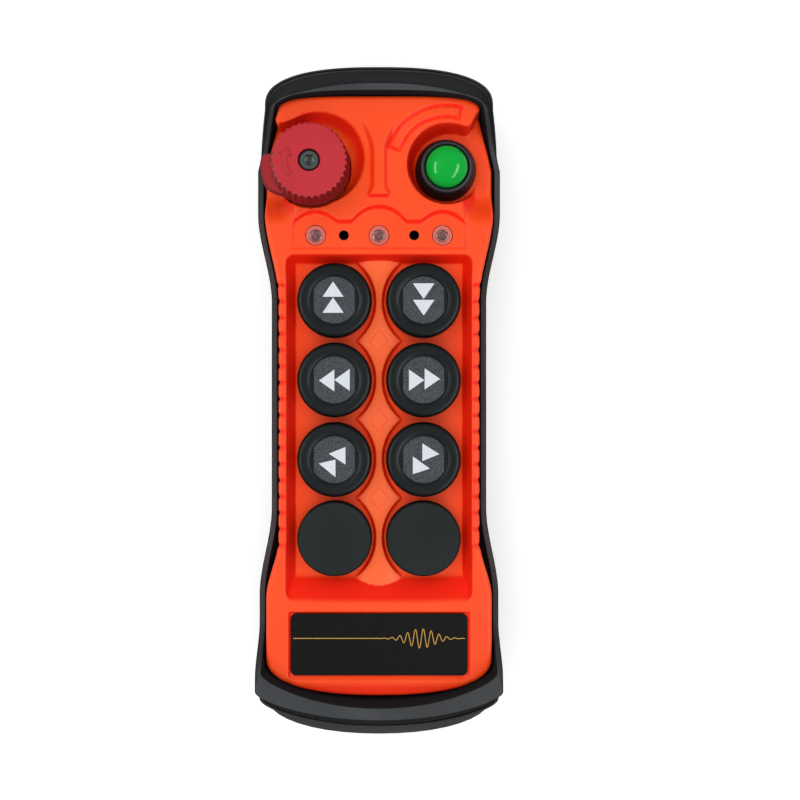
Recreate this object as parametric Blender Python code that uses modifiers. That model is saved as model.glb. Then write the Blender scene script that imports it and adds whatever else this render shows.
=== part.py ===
"""Cordless hand-held control station: an orange front shell and a black rear shell in a rubber bumper,
with six arrow push buttons, a start button, an emergency stop and a sliding battery door.

Metres. The station lies on its back. +Z comes out of the front, +Y runs to the emergency stop end
and +X to the right. The origin is the middle of the rest plane."""

import math

import bmesh
import bpy
from mathutils import Matrix

# Clearances
GAP = 0.0003  # between pieces that touch
RUN_GAP = 0.0004  # round a piece that slides or turns in a bore
OVERSHOOT = 0.001  # how far a cutter runs past the face it cuts
EDGE_BREAK = 0.3  # how much of its radius a round edge loses halfway round

# Push buttons, each a cup-shaped cap with a legend plate, a plunger and a switch
BUTTON_DIAMETER = 0.023
BUTTON_HEIGHT = 0.0046
BUTTON_TRAVEL = 0.0032
BUTTON_WALL = 0.0018
BUTTON_CROWN = 0.0021
BUTTON_DISH = 0.0009
BUTTON_RIM = 0.0022
BUTTON_ROUND = 0.0012
LEGEND_DIAMETER = 0.0151
LEGEND_FLATS = 0.0129
LEGEND_THICKNESS = 0.0007
PLUNGER_DIAMETER = 0.0068
PLUNGER_FLANGE_DIAMETER = 0.0094
PLUNGER_FLANGE_THICKNESS = 0.0021
SWITCH_SIZE = 0.012
SWITCH_BODY_HEIGHT = 0.0042
SWITCH_ACTUATOR_DIAMETER = 0.0035
SWITCH_ACTUATOR_HEIGHT = 0.0018
PLUG_HEIGHT = 0.0064
PLUG_STEM = 0.0015
ROW_GAP = 0.0014
COLUMN_GAP = 0.0043
BUTTONS = (
    ("up", -1, 0), ("down", 1, 0),
    ("left", -1, 1), ("right", 1, 1),
    ("back", -1, 2), ("forward", 1, 2),
)
BLANKS = (("left", -1, 3), ("right", 1, 3))

# Button pocket in the front shell
POCKET_DEPTH = 0.006
POCKET_MARGIN = 0.00085
POCKET_SIDE_DRAFT = 0.0027
POCKET_HEAD_DRAFT = 0.0018
POCKET_RAMP = 0.006
POCKET_CORNER = 0.0027
SPINE_HEIGHT = 0.002
SPINE_CUSP = 0.0075
SCALLOP_CLEARANCE = 0.001

# Front shell
PANEL = 0.0022  # floor of the pocket and of the wells
WALL = 0.0024
SIDE_RIM = 0.0017
DECK_EDGE = 0.001
HEAD_MARGIN = 0.0054
TAIL_MARGIN = 0.0065
HEAD_FLARE = 0.0043
TAIL_FLARE = 0.0038
HEAD_TAPER = 0.0038
HEAD_ROUND = 0.0077
HEAD_POWER = 3.8
TAIL_ROUND = 0.0123
TAIL_POWER = 2.2

# Wells of the emergency stop and the start button
WELL_DEPTH = 0.007
ESTOP_WELL_RADIUS = 0.0163
START_WELL_RADIUS = 0.013
ESTOP_SPINE = 0.0045  # from the middle line to the edge of the well
START_SPINE = 0.0077
FLANK_GAP = 0.017

# Status band: three lamps and two ports
LAMP_DIAMETER = 0.0061
LAMP_PITCH = 0.0195
LAMP_STEM_DIAMETER = 0.0045
LAMP_HEAD_HEIGHT = 0.004
LAMP_DOME = 0.0007
LAMP_SHOULDER = 0.7  # share of the lamp's radius where its dome turns down
LAMP_SHOULDER_RISE = 0.6  # share of the dome's height there
PORT_DIAMETER = 0.003
PORT_PITCH = 0.0216
LAMP_OFFSET = 0.0044  # from the edge of the emergency stop well
LAMP_TO_POCKET = 0.0059
BAND_LENGTH = 0.0072
BAND_HALF_WIDTH = 0.0266
BAND_DEPTH = 0.0007

# Label plate
LABEL_WIDTH = 0.0543
LABEL_LENGTH = 0.019
LABEL_THICKNESS = 0.0008
LABEL_CORNER = 0.0017
LABEL_MARGIN = 0.0006
LABEL_RECESS = 0.0012
LABEL_GAP = 0.0046  # from the pocket to the plate

# Bumper
BUMPER_SIDE = 0.0022
BUMPER_HEAD = 0.0138
BUMPER_TAIL = 0.0126
BUMPER_TAPER = 0.001
BUMPER_TAIL_FLARE = 0.0024
BUMPER_FOOT = 0.004
BUMPER_ROUND = 0.0135
BUMPER_POWER = 2.2
RIM_RISE = 0.006  # over the deck
RIM_WIDTH = 0.0026
RIM_INSET = 0.0004
RIM_SIDE_INSET = 0.0006
RIM_RAMP = 0.012
RIM_CHAMFER = 0.0012

# Rear shell
HEEL = 0.0038  # how far the tail of the rear shell stands past the bumper
REAR_SIDE_INSET = 0.0004
REAR_HEAD_INSET = 0.0018
REAR_ROUND = 0.018
REAR_POWER = 2.1
REAR_CHEEK = 0.006  # how far the back draws in
REAR_CHEEK_HEIGHT = 0.014
REAR_FLOOR = 0.0028
SHOULDER = 0.0027
SEAM_RAISE = 0.0011  # the rear shell's edge over the board
GASKET_THICKNESS = 0.001
GASKET_WIDTH = 0.0018

# Battery bay and door
CELL_DIAMETER = 0.0145
CELL_LENGTH = 0.0505
CELL_NUB_DIAMETER = 0.0055
CELL_NUB_LENGTH = 0.001
CELL_PLAY = 0.0005
CONTACT_ROOM = 0.0024
CONTACT_THICKNESS = 0.0004
CONTACT_WIDTH = 0.009
CONTACT_HEIGHT = 0.01
CONTACT_BOW = 0.0011
BAY_WALL = 0.0018
BAY_TAIL_MARGIN = 0.004
DOOR_RECESS = 0.0005
DOOR_THICKNESS = 0.0022
DOOR_TONGUE = 0.0018
DOOR_TONGUE_THICKNESS = 0.001
DOOR_LAP = 0.003
DOOR_TAIL_INSET = 0.0008
DOOR_GRIP_WIDTH = 0.02
DOOR_GRIP_DEPTH = 0.0008
DOOR_GRIP_LENGTH = 0.007

# Main board and what stands on it
BOARD_RAISE = 0.0012
BOARD_THICKNESS = 0.0016
BOARD_MARGIN = 0.0018
BOARD_HEAD_REACH = 0.0102
POST_DIAMETER = 0.004
RADIO_SIZE = (0.016, 0.022, 0.0035)
SOUNDER_DIAMETER = 0.0095
SOUNDER_HEIGHT = 0.006
ANTENNA_DIAMETER = 0.0012
ANTENNA_RISE = 0.004
ANTENNA_REACH = 0.008

# Panel controls: barrel, nut and contact block under each well
BARREL_DEPTH = 0.0065
NUT_THICKNESS = 0.0034
NUT_WALL = 0.0022
BLOCK_SIZE = 0.0156

# Emergency stop
ESTOP_TRAVEL = 0.0042
ESTOP_BARREL_DIAMETER = 0.0134
ESTOP_FLANGE_DIAMETER = 0.02
ESTOP_FLANGE_THICKNESS = 0.0015
ESTOP_SHAFT_DIAMETER = 0.006
ESTOP_COLLAR_DIAMETER = 0.0236
ESTOP_COLLAR_THICKNESS = 0.0036
ESTOP_EAR_REACH = 0.0154
ESTOP_EAR_SPREAD = 1.0  # half angle in radians
ESTOP_HEAD_DIAMETER = 0.024
ESTOP_HEAD_TOP_DIAMETER = 0.0226
ESTOP_HEAD_HEIGHT = 0.0105
ESTOP_TOOTH = 0.0006
ESTOP_TEETH = 30
ESTOP_EDGE = 0.0008
ESTOP_WEB = 0.0014
ESTOP_SCREW_HEAD_DIAMETER = 0.0059
ESTOP_SCREW_HEAD_HEIGHT = 0.0024
ESTOP_SCREW_DIAMETER = 0.003
ESTOP_SCREW_GRIP = 0.007
ESTOP_SCREW_SINK = 0.0006
HEX_SOCKET = 0.003
HEX_SOCKET_DEPTH = 0.0013

# Start button
START_TRAVEL = 0.0022
START_DOME_DIAMETER = 0.0128
START_DOME_HEIGHT = 0.0042
START_SKIRT = 0.0032
START_STEM_DIAMETER = 0.005
START_BEZEL_BASE_DIAMETER = 0.0189
START_BEZEL_TOP_DIAMETER = 0.0164
START_BEZEL_HEIGHT = 0.0087
START_BEZEL_FOOT = 0.0029
START_BARREL_DIAMETER = 0.0114

# Shell screws
SCREW_DIAMETER = 0.003
SCREW_HEAD_DIAMETER = 0.0056
SCREW_HEAD_HEIGHT = 0.0024
SCREW_SEAT = 0.012
SCREW_BITE = 0.0085
SCREW_DRIVE_DEPTH = 0.0012
BOSS_WALL = 0.0018
BOSS_TO_BOARD = 0.0018
BOSS_TO_LAMP = 0.0007
COLUMN_TO_DOOR = 0.0005

# Facets
FLARE_STEPS = 4
END_STEPS = 6
CHEEK_STEPS = 3
SPINE_STEPS = 40
BUTTON_SIDES = 28
CONTROL_SIDES = 28
SMALL_SIDES = 12
SWITCH_POINTS = 8
LEGEND_POINTS = 20
COLLAR_POINTS = 60
SOCKET_SIDES = 24
SOUNDER_SIDES = 24
LEAF_STEPS = 6
DOME_STEPS = 6
SHARP_ANGLE = math.radians(35)

# Heights, from the back to the front
button_radius = BUTTON_DIAMETER / 2
row_pitch = BUTTON_DIAMETER + ROW_GAP
column_x = (BUTTON_DIAMETER + COLUMN_GAP) / 2
switch_height = SWITCH_BODY_HEIGHT + SWITCH_ACTUATOR_HEIGHT
door_top = DOOR_RECESS + DOOR_THICKNESS
cell_z = door_top + GAP + CELL_DIAMETER / 2
bay_ceiling = cell_z + CELL_DIAMETER / 2 + CELL_PLAY
bay_top = bay_ceiling + BAY_WALL
board_bottom = bay_top + BOARD_RAISE
board_top = board_bottom + BOARD_THICKNESS
rear_top = board_top + SEAM_RAISE
front_bottom = rear_top + GASKET_THICKNESS + 2 * GAP
switch_top = board_top + GAP + switch_height
plunger_bottom = switch_top + GAP + BUTTON_TRAVEL
floor_underside = plunger_bottom + PLUNGER_FLANGE_THICKNESS + GAP
floor_z = floor_underside + PANEL
deck_z = floor_z + POCKET_DEPTH
cap_z = floor_z + GAP + BUTTON_TRAVEL
well_z = deck_z - WELL_DEPTH
rail_z = well_z - GAP
rim_z = deck_z + RIM_RISE
barrel_bottom = well_z - BARREL_DEPTH

# Places along the station, from the head end of the front shell to its tail end
front_length = (
    HEAD_MARGIN + 2 * ESTOP_WELL_RADIUS + LAMP_OFFSET + LAMP_TO_POCKET + POCKET_HEAD_DRAFT
    + 2 * (button_radius + POCKET_MARGIN) + 3 * row_pitch + POCKET_RAMP
    + LABEL_GAP + LABEL_LENGTH + TAIL_MARGIN
)
head_y = (front_length + BUMPER_TAIL + HEEL - BUMPER_HEAD) / 2
tail_y = head_y - front_length
well_y = head_y - HEAD_MARGIN - ESTOP_WELL_RADIUS
lamp_y = well_y - ESTOP_WELL_RADIUS - LAMP_OFFSET
pocket_head_y = lamp_y - LAMP_TO_POCKET
floor_head_y = pocket_head_y - POCKET_HEAD_DRAFT
first_row_y = floor_head_y - POCKET_MARGIN - button_radius
last_row_y = first_row_y - 3 * row_pitch
floor_tail_y = last_row_y - button_radius - POCKET_MARGIN
pocket_tail_y = floor_tail_y - POCKET_RAMP
label_y = pocket_tail_y - LABEL_GAP - LABEL_LENGTH / 2
bay_tail_y = tail_y + BAY_TAIL_MARGIN
bay_head_y = bay_tail_y + CELL_LENGTH + 2 * CONTACT_ROOM
rear_tail_y = tail_y - BUMPER_TAIL - HEEL

# Places across the station
floor_half_width = column_x + button_radius + POCKET_MARGIN
pocket_half_width = floor_half_width + POCKET_SIDE_DRAFT
waist_half_width = pocket_half_width + SIDE_RIM
estop_x = -ESTOP_SPINE - ESTOP_WELL_RADIUS
start_x = START_SPINE + START_WELL_RADIUS
board_half_width = column_x + SWITCH_SIZE / 2 + BOARD_MARGIN
cell_x = (CELL_DIAMETER + CELL_PLAY) / 2
bay_half_width = 2 * cell_x + CELL_PLAY / 2
door_half_width = bay_half_width + BAY_WALL
slab_half_width = door_half_width + DOOR_TONGUE + RUN_GAP + BAY_WALL
lamps_half_width = LAMP_PITCH + LAMP_DIAMETER / 2
boss_radius = SCREW_DIAMETER / 2 + BOSS_WALL
seat_radius = SCREW_HEAD_DIAMETER / 2 + RUN_GAP
column_radius = seat_radius + BOSS_WALL
head_screw_x = boss_radius + max(board_half_width + BOSS_TO_BOARD, lamps_half_width + BOSS_TO_LAMP)
tail_screw_x = slab_half_width + COLUMN_TO_DOOR + column_radius
SCREWS = (
    (-head_screw_x, lamp_y), (head_screw_x, lamp_y),
    (-tail_screw_x, label_y), (tail_screw_x, label_y),
)

for old in list(bpy.data.objects):
    bpy.data.objects.remove(old)

station = bpy.data.collections.new("control_station")
cutters = bpy.data.collections.new("cutters")
cutters.hide_render = True
bpy.context.scene.collection.children.link(station)
bpy.context.scene.collection.children.link(cutters)


def finish(name, color, roughness, metallic=0.0):
    """A plain material with the piece's colour."""
    material = bpy.data.materials.new(name)
    material.use_nodes = True
    shader = material.node_tree.nodes["Principled BSDF"]
    shader.inputs["Base Color"].default_value = (*color, 1.0)
    shader.inputs["Roughness"].default_value = roughness
    shader.inputs["Metallic"].default_value = metallic
    return material


orange_plastic = finish("orange_plastic", (0.98, 0.10, 0.03), 0.45)
black_plastic = finish("black_plastic", (0.022, 0.023, 0.022), 0.5)
bumper_rubber = finish("bumper_rubber", (0.03, 0.031, 0.032), 0.65)
cap_rubber = finish("cap_rubber", (0.022, 0.026, 0.024), 0.55)
legend_grey = finish("legend_grey", (0.055, 0.064, 0.08), 0.7)
stop_red = finish("stop_red", (0.55, 0.035, 0.045), 0.5)
collar_red = finish("collar_red", (0.28, 0.02, 0.025), 0.5)
start_green = finish("start_green", (0.002, 0.42, 0.05), 0.25)
lamp_clear = finish("lamp_clear", (0.6, 0.3, 0.28), 0.15)
label_black = finish("label_black", (0.018, 0.018, 0.018), 0.35)
gasket_rubber = finish("gasket_rubber", (0.05, 0.05, 0.05), 0.8)
screw_steel = finish("screw_steel", (0.04, 0.038, 0.035), 0.4, 1.0)
bright_steel = finish("bright_steel", (0.55, 0.55, 0.54), 0.3, 1.0)
board_green = finish("board_green", (0.01, 0.12, 0.03), 0.5)
nylon_white = finish("nylon_white", (0.6, 0.6, 0.57), 0.5)
cell_jacket = finish("cell_jacket", (0.05, 0.06, 0.16), 0.35)


def put(name, mesh, material, place=(0.0, 0.0, 0.0), parent=None):
    """A part of the station, shaded smooth up to its sharp edges."""
    mesh.shade_smooth()
    mesh.set_sharp_from_angle(angle=SHARP_ANGLE)
    mesh.materials.append(material)
    part = bpy.data.objects.new(name, mesh)
    part.location = place
    part.parent = parent
    station.objects.link(part)
    return part


def cutter(name, mesh):
    """A helper solid that is cut from a part or kept out of another cutter."""
    tool = bpy.data.objects.new(name, mesh)
    tool.hide_render = True
    tool.display_type = "WIRE"
    cutters.objects.link(tool)
    return tool


def cut(body, *tools, operation="DIFFERENCE"):
    for tool in tools:
        step = body.modifiers.new(tool.name, "BOOLEAN")
        step.operation = operation
        step.object = tool


def moving(name, place, parent=None):
    """An empty on the axis of a piece that moves."""
    empty = bpy.data.objects.new(name, None)
    empty.location = place
    empty.parent = parent
    station.objects.link(empty)
    return empty


def loft(name, rings, closed=False):
    """A solid through rings of equally many points: capped at both ends, or closed into a hoop."""
    shape = bmesh.new()
    rows = [[shape.verts.new(point) for point in ring] for ring in rings]
    pairs = list(zip(rows, rows[1:]))
    if closed:
        pairs.append((rows[-1], rows[0]))
    else:
        shape.faces.new(rows[0])
        shape.faces.new(rows[-1])
    for low, high in pairs:
        for k in range(len(low)):
            shape.faces.new((low[k - 1], low[k], high[k], high[k - 1]))
    bmesh.ops.recalc_face_normals(shape, faces=shape.faces)
    mesh = bpy.data.meshes.new(name)
    shape.to_mesh(mesh)
    shape.free()
    return mesh


def plate(name, loops, low, high):
    """A flat outline, with any holes as further loops, given a thickness from low to high."""
    curve = bpy.data.curves.new(name, "CURVE")
    curve.dimensions = "2D"
    curve.fill_mode = "BOTH"
    curve.extrude = (high - low) / 2
    for loop in loops:
        spline = curve.splines.new("POLY")
        spline.points.add(len(loop) - 1)
        for point, (x, y) in zip(spline.points, loop):
            point.co = (x, y, 0.0, 1.0)
        spline.use_cyclic_u = True
    drawn = bpy.data.objects.new(name, curve)
    station.objects.link(drawn)
    mesh = bpy.data.meshes.new_from_object(drawn.evaluated_get(bpy.context.evaluated_depsgraph_get()))
    bpy.data.objects.remove(drawn)
    bpy.data.curves.remove(curve)
    mesh.transform(Matrix.Translation((0.0, 0.0, (low + high) / 2)))
    shape = bmesh.new()
    shape.from_mesh(mesh)
    bmesh.ops.remove_doubles(shape, verts=shape.verts, dist=1e-6)
    bmesh.ops.recalc_face_normals(shape, faces=shape.faces)
    shape.to_mesh(mesh)
    shape.free()
    mesh.materials.clear()
    return mesh


def turned(name, profile, material, sides, place, parent=None, hoop=False):
    """A part turned about Z from a profile of (radius, height) that runs from its top to its bottom."""
    mesh = bpy.data.meshes.new(name)
    count = len(profile)
    edges = [(k, k + 1) for k in range(count - 1)]
    if hoop:
        edges.append((count - 1, 0))
    mesh.from_pydata([(radius, 0.0, height) for radius, height in profile], edges, [])
    mesh.materials.append(material)
    part = bpy.data.objects.new(name, mesh)
    part.location = place
    part.parent = parent
    station.objects.link(part)
    spin = part.modifiers.new("spin", "SCREW")
    spin.steps = sides
    spin.render_steps = sides
    spin.use_merge_vertices = True
    spin.merge_threshold = 1e-6
    spin.use_smooth_shade = True
    return part


def cylinder(name, radius, low, high, x, y, sides=SMALL_SIDES):
    shape = bmesh.new()
    place = Matrix.Translation((x, y, (low + high) / 2))
    bmesh.ops.create_cone(
        shape, cap_ends=True, segments=sides, radius1=radius, radius2=radius, depth=high - low, matrix=place
    )
    mesh = bpy.data.meshes.new(name)
    shape.to_mesh(mesh)
    shape.free()
    return mesh


def block(name, low, high):
    """A box between two corners."""
    shape = bmesh.new()
    middle = [(a + b) / 2 for a, b in zip(low, high)]
    size = [b - a for a, b in zip(low, high)]
    place = Matrix.Translation(middle) @ Matrix.Diagonal((*size, 1.0))
    bmesh.ops.create_cube(shape, size=1.0, matrix=place)
    mesh = bpy.data.meshes.new(name)
    shape.to_mesh(mesh)
    shape.free()
    return mesh


def polar(radius_at, count, height=None):
    """Points round the origin, with the radius a function of the angle."""
    points = []
    for k in range(count):
        angle = 2 * math.pi * k / count
        radius = radius_at(angle)
        point = (radius * math.cos(angle), radius * math.sin(angle))
        points.append(point if height is None else (*point, height))
    return points


def circle(radius, count, height=None):
    return polar(lambda angle: radius, count, height)


def hexagon(across, count, height=None):
    """A hexagon by its width across flats, sampled as evenly turned points."""
    sector = math.pi / 3
    return polar(lambda angle: across / 2 / math.cos(angle % sector - sector / 2), count, height)


def square(size, count, height):
    sector = math.pi / 2
    eighth = math.pi / 4
    return polar(lambda angle: size / 2 / math.cos((angle + eighth) % sector - eighth), count, height)


def rounded(x0, x1, y0, y1, corner, height=None, steps=4):
    """A rectangle with round corners, counter-clockwise."""
    centres = ((x1, y1, -1, -1, 0), (x0, y1, 1, -1, 1), (x0, y0, 1, 1, 2), (x1, y0, -1, 1, 3))
    points = []
    for x, y, dx, dy, quarter in centres:
        for k in range(steps + 1):
            angle = math.pi / 2 * (quarter + k / steps)
            point = (x + corner * (dx + math.cos(angle)), y + corner * (dy + math.sin(angle)))
            points.append(point if height is None else (*point, height))
    return points


def ease(value):
    """A smooth step from 0 to 1."""
    value = min(max(value, 0.0), 1.0)
    return value * value * (3 - 2 * value)


def half_width(y, taper, flare):
    """Half the width of the front shell at a place along it, drawn in at the grip and at the head."""
    label_top = label_y + LABEL_LENGTH / 2
    width = waist_half_width
    width += HEAD_FLARE * ease((y - first_row_y) / (well_y - START_WELL_RADIUS - first_row_y))
    width += TAIL_FLARE * ease((last_row_y - y) / (last_row_y - pocket_tail_y))
    width -= taper * min(max((y - well_y) / (head_y - well_y), 0.0), 1.0) ** 2
    width += flare * ease((label_top - y) / (label_top - tail_y))
    return width


def spread(start, end, steps):
    return [start + (end - start) * k / steps for k in range(steps + 1)]


def outline(
    height, grow=0.0, side=0.0, head=0.0, tail=0.0, taper=HEAD_TAPER, flare=0.0,
    head_round=HEAD_ROUND, head_power=HEAD_POWER, tail_round=TAIL_ROUND, tail_power=TAIL_POWER,
):
    """The housing's plan outline, grown on its sides and ends, at a height or a height along y."""
    top = head_y + head + grow
    bottom = tail_y - tail - grow
    low = bottom + tail_round
    high = top - head_round
    label_top = label_y + LABEL_LENGTH / 2
    angles = spread(0.0, math.pi / 2, END_STEPS)[:-1]
    stations = [low, (low + label_top) / 2, label_top]
    stations += spread(pocket_tail_y, last_row_y, FLARE_STEPS)
    stations += spread(first_row_y, well_y - START_WELL_RADIUS, FLARE_STEPS)
    stations += [well_y, (well_y + high) / 2, high]
    right = []
    for angle in angles:
        share = math.sin(angle) ** (2 / tail_power)
        right.append((share, bottom + tail_round * (1 - math.cos(angle) ** (2 / tail_power))))
    right += [(1.0, y) for y in stations]
    for angle in reversed(angles):
        share = math.sin(angle) ** (2 / head_power)
        right.append((share, top - head_round * (1 - math.cos(angle) ** (2 / head_power))))
    points = [(share * (half_width(y, taper, flare) + side + grow), y) for share, y in right]
    points += [(-x, y) for x, y in reversed(points[1:-1])]
    return [(x, y, height(y) if callable(height) else height) for x, y in points]


def flat(points):
    return [point[:2] for point in points]


def cylinders(name, places):
    """Several upright cylinders as one cutter, each (radius, low, high, x, y)."""
    shape = bmesh.new()
    for radius, low, high, x, y in places:
        place = Matrix.Translation((x, y, (low + high) / 2))
        bmesh.ops.create_cone(
            shape, cap_ends=True, segments=SMALL_SIDES, radius1=radius, radius2=radius, depth=high - low,
            matrix=place,
        )
    mesh = bpy.data.meshes.new(name)
    shape.to_mesh(mesh)
    shape.free()
    return cutter(name, mesh)


plunger_radius = PLUNGER_DIAMETER / 2
rear_form = dict(
    side=BUMPER_SIDE - REAR_SIDE_INSET, head=BUMPER_HEAD - REAR_HEAD_INSET, tail=BUMPER_TAIL + HEEL,
    taper=BUMPER_TAPER, head_round=BUMPER_ROUND, head_power=BUMPER_POWER,
    tail_round=REAR_ROUND, tail_power=REAR_POWER,
)
bumper_form = dict(
    side=BUMPER_SIDE, head=BUMPER_HEAD, tail=BUMPER_TAIL, taper=BUMPER_TAPER, flare=BUMPER_TAIL_FLARE,
    head_round=BUMPER_ROUND, head_power=BUMPER_POWER, tail_round=BUMPER_ROUND, tail_power=BUMPER_POWER,
)


def row_y(row):
    return first_row_y - row * row_pitch


# Rear shell: a tub with a drawn-in back, a battery bay, screw columns and a channel for the door
cheek = spread(0.0, math.pi / 2, CHEEK_STEPS)
rear_rings = []
hollow_rings = []
for angle in cheek:
    inward = -REAR_CHEEK * (1 - math.sin(angle))
    rise = 1 - math.cos(angle)
    rear_rings.append(outline(REAR_CHEEK_HEIGHT * rise, inward, **rear_form))
    inner_height = REAR_FLOOR + (REAR_CHEEK_HEIGHT - REAR_FLOOR) * rise
    hollow_rings.append(outline(inner_height, inward - WALL, **rear_form))
rear_rings.append(outline(rear_top, **rear_form))
hollow_rings.append(outline(rear_top - SHOULDER, -WALL, **rear_form))
hollow_rings.append(outline(rear_top - SHOULDER, -WALL))
hollow_rings.append(outline(rear_top + OVERSHOOT, -WALL))
rear_shell = put("rear_shell", loft("rear_shell", rear_rings), black_plastic)
rear_hollow = cutter("rear_hollow", loft("rear_hollow", hollow_rings))

door_head_y = bay_head_y + DOOR_LAP
door_tail_y = rear_tail_y + REAR_CHEEK + DOOR_TAIL_INSET
door_slab_keep = cutter(
    "door_slab_keep",
    block(
        "door_slab_keep",
        (-slab_half_width, rear_tail_y, 0.0),
        (slab_half_width, door_head_y + GAP + BAY_WALL, door_top + RUN_GAP + BAY_WALL),
    ),
)
bay_outer = bay_half_width + BAY_WALL
bay_keep = cutter(
    "bay_keep",
    block(
        "bay_keep", (-bay_outer, bay_tail_y - BAY_WALL, 0.0), (bay_outer, bay_head_y + BAY_WALL, bay_top)
    ),
)
column_keep = cylinders(
    "column_keep",
    [(column_radius, 0.0, SCREW_SEAT + BOSS_WALL, x, y) for x, y in SCREWS],
)
column_top_keep = cylinders(
    "column_top_keep",
    [(boss_radius, SCREW_SEAT, rear_top + 2 * OVERSHOOT, x, y) for x, y in SCREWS],
)
post_x = board_half_width - POST_DIAMETER
post_keep = cylinders(
    "post_keep",
    [(POST_DIAMETER / 2, 0.0, board_bottom - GAP, x, lamp_y) for x in (-post_x, post_x)]
    + [(POST_DIAMETER / 2, bay_ceiling, board_bottom - GAP, x, last_row_y) for x in (-cell_x, cell_x)],
)
cut(rear_hollow, door_slab_keep, bay_keep, column_keep, column_top_keep, post_keep)
bay_room = cutter(
    "bay_room",
    block(
        "bay_room", (-bay_half_width, bay_tail_y, -OVERSHOOT), (bay_half_width, bay_head_y, bay_ceiling)
    ),
)


def door_solid(name, clearance, tail, head):
    """The door's T-shaped section drawn out along Y, or the channel that it runs in."""
    lip = door_top - DOOR_TONGUE_THICKNESS - clearance
    face = door_half_width + clearance
    tongue = door_half_width + DOOR_TONGUE + clearance
    top = door_top + clearance
    bottom = -OVERSHOOT if clearance else DOOR_RECESS
    right = [(face, bottom), (face, lip), (tongue, lip), (tongue, top)]
    section = right + [(-x, z) for x, z in reversed(right)]
    return loft(name, [[(x, y, z) for x, z in section] for y in (tail, head)])


door_channel = cutter(
    "door_channel", door_solid("door_channel", RUN_GAP, rear_tail_y - OVERSHOOT, door_head_y + GAP)
)
screw_tip = front_bottom + SCREW_BITE
screw_radius = SCREW_DIAMETER / 2
screw_bores = cylinders(
    "screw_bores", [(screw_radius + GAP, 0.0, rear_top + OVERSHOOT, x, y) for x, y in SCREWS]
)
seat_bores = cylinders("seat_bores", [(seat_radius, -OVERSHOOT, SCREW_SEAT, x, y) for x, y in SCREWS])
cut(rear_shell, rear_hollow, bay_room, door_channel, screw_bores, seat_bores)

# Battery door: slides out at the tail in its channel
battery_door = put("battery_door", door_solid("battery_door", 0.0, door_tail_y, door_head_y), black_plastic)
grip_y = door_head_y - DOOR_LAP - DOOR_GRIP_LENGTH
door_grip = cutter(
    "door_grip",
    block(
        "door_grip",
        (-DOOR_GRIP_WIDTH / 2, grip_y, -OVERSHOOT),
        (DOOR_GRIP_WIDTH / 2, grip_y + DOOR_GRIP_LENGTH, DOOR_RECESS + DOOR_GRIP_DEPTH),
    ),
)
cut(battery_door, door_grip)

# Cells and contacts
cell_tail_y = bay_tail_y + CONTACT_ROOM
cell_radius = CELL_DIAMETER / 2
nub_radius = CELL_NUB_DIAMETER / 2
cell_body = CELL_LENGTH - CELL_NUB_LENGTH
cell_profile = [(0.0, CELL_LENGTH), (nub_radius, CELL_LENGTH), (nub_radius, cell_body),
                (cell_radius, cell_body), (cell_radius, 0.0), (0.0, 0.0)]
battery_left = turned(
    "battery_left", cell_profile, cell_jacket, SMALL_SIDES, (-cell_x, cell_tail_y, cell_z)
)
battery_left.rotation_euler = (-math.pi / 2, 0.0, 0.0)
battery_right = turned(
    "battery_right", cell_profile, cell_jacket, SMALL_SIDES, (cell_x, cell_tail_y + CELL_LENGTH, cell_z)
)
battery_right.rotation_euler = (math.pi / 2, 0.0, 0.0)


def bow(x):
    return CONTACT_BOW * (1 - (2 * x / CONTACT_WIDTH) ** 2)


leaf_low = [(x, bow(x)) for x in spread(-CONTACT_WIDTH / 2, CONTACT_WIDTH / 2, LEAF_STEPS)]
leaf_loop = leaf_low + [(x, y + CONTACT_THICKNESS) for x, y in reversed(leaf_low)]
contact_low = cell_z - CONTACT_HEIGHT / 2
contact_high = cell_z + CONTACT_HEIGHT / 2
for side_name, x in (("left", -cell_x), ("right", cell_x)):
    leaf_name = "contact_leaf_" + side_name
    leaf = plate(leaf_name, [leaf_loop], contact_low, contact_high)
    put(leaf_name, leaf, bright_steel, (x, bay_tail_y + GAP, 0.0))
bridge_half = cell_x + CONTACT_WIDTH / 2
bridge_y = bay_head_y - GAP - CONTACT_THICKNESS
put(
    "contact_bridge",
    block(
        "contact_bridge",
        (-bridge_half, bridge_y, contact_low),
        (bridge_half, bridge_y + CONTACT_THICKNESS, contact_high),
    ),
    bright_steel,
)

# Main board with the radio module, the antenna and the sounder
board_tail_y = last_row_y - SWITCH_SIZE / 2 - BOARD_MARGIN
board_head_y = well_y + BOARD_HEAD_REACH
stand_z = board_top + GAP
put(
    "main_board",
    block(
        "main_board",
        (-board_half_width, board_tail_y, board_bottom),
        (board_half_width, board_head_y, board_top),
    ),
    board_green,
)
radio_half = RADIO_SIZE[0] / 2
radio_tail_y = board_head_y - ANTENNA_DIAMETER - BOARD_MARGIN - RADIO_SIZE[1]
put(
    "radio_module",
    block(
        "radio_module",
        (-radio_half, radio_tail_y, stand_z),
        (radio_half, radio_tail_y + RADIO_SIZE[1], stand_z + RADIO_SIZE[2]),
    ),
    bright_steel,
)
sounder_radius = SOUNDER_DIAMETER / 2
put(
    "sounder",
    cylinder(
        "sounder", sounder_radius, stand_z, stand_z + SOUNDER_HEIGHT, PORT_PITCH / 2, lamp_y, SOUNDER_SIDES
    ),
    black_plastic,
)
wire = bpy.data.curves.new("antenna", "CURVE")
wire.dimensions = "3D"
wire.bevel_depth = ANTENNA_DIAMETER / 2
wire.bevel_resolution = 1
wire.use_fill_caps = True
antenna_y = board_head_y - ANTENNA_DIAMETER
antenna_z = stand_z + ANTENNA_RISE
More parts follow.
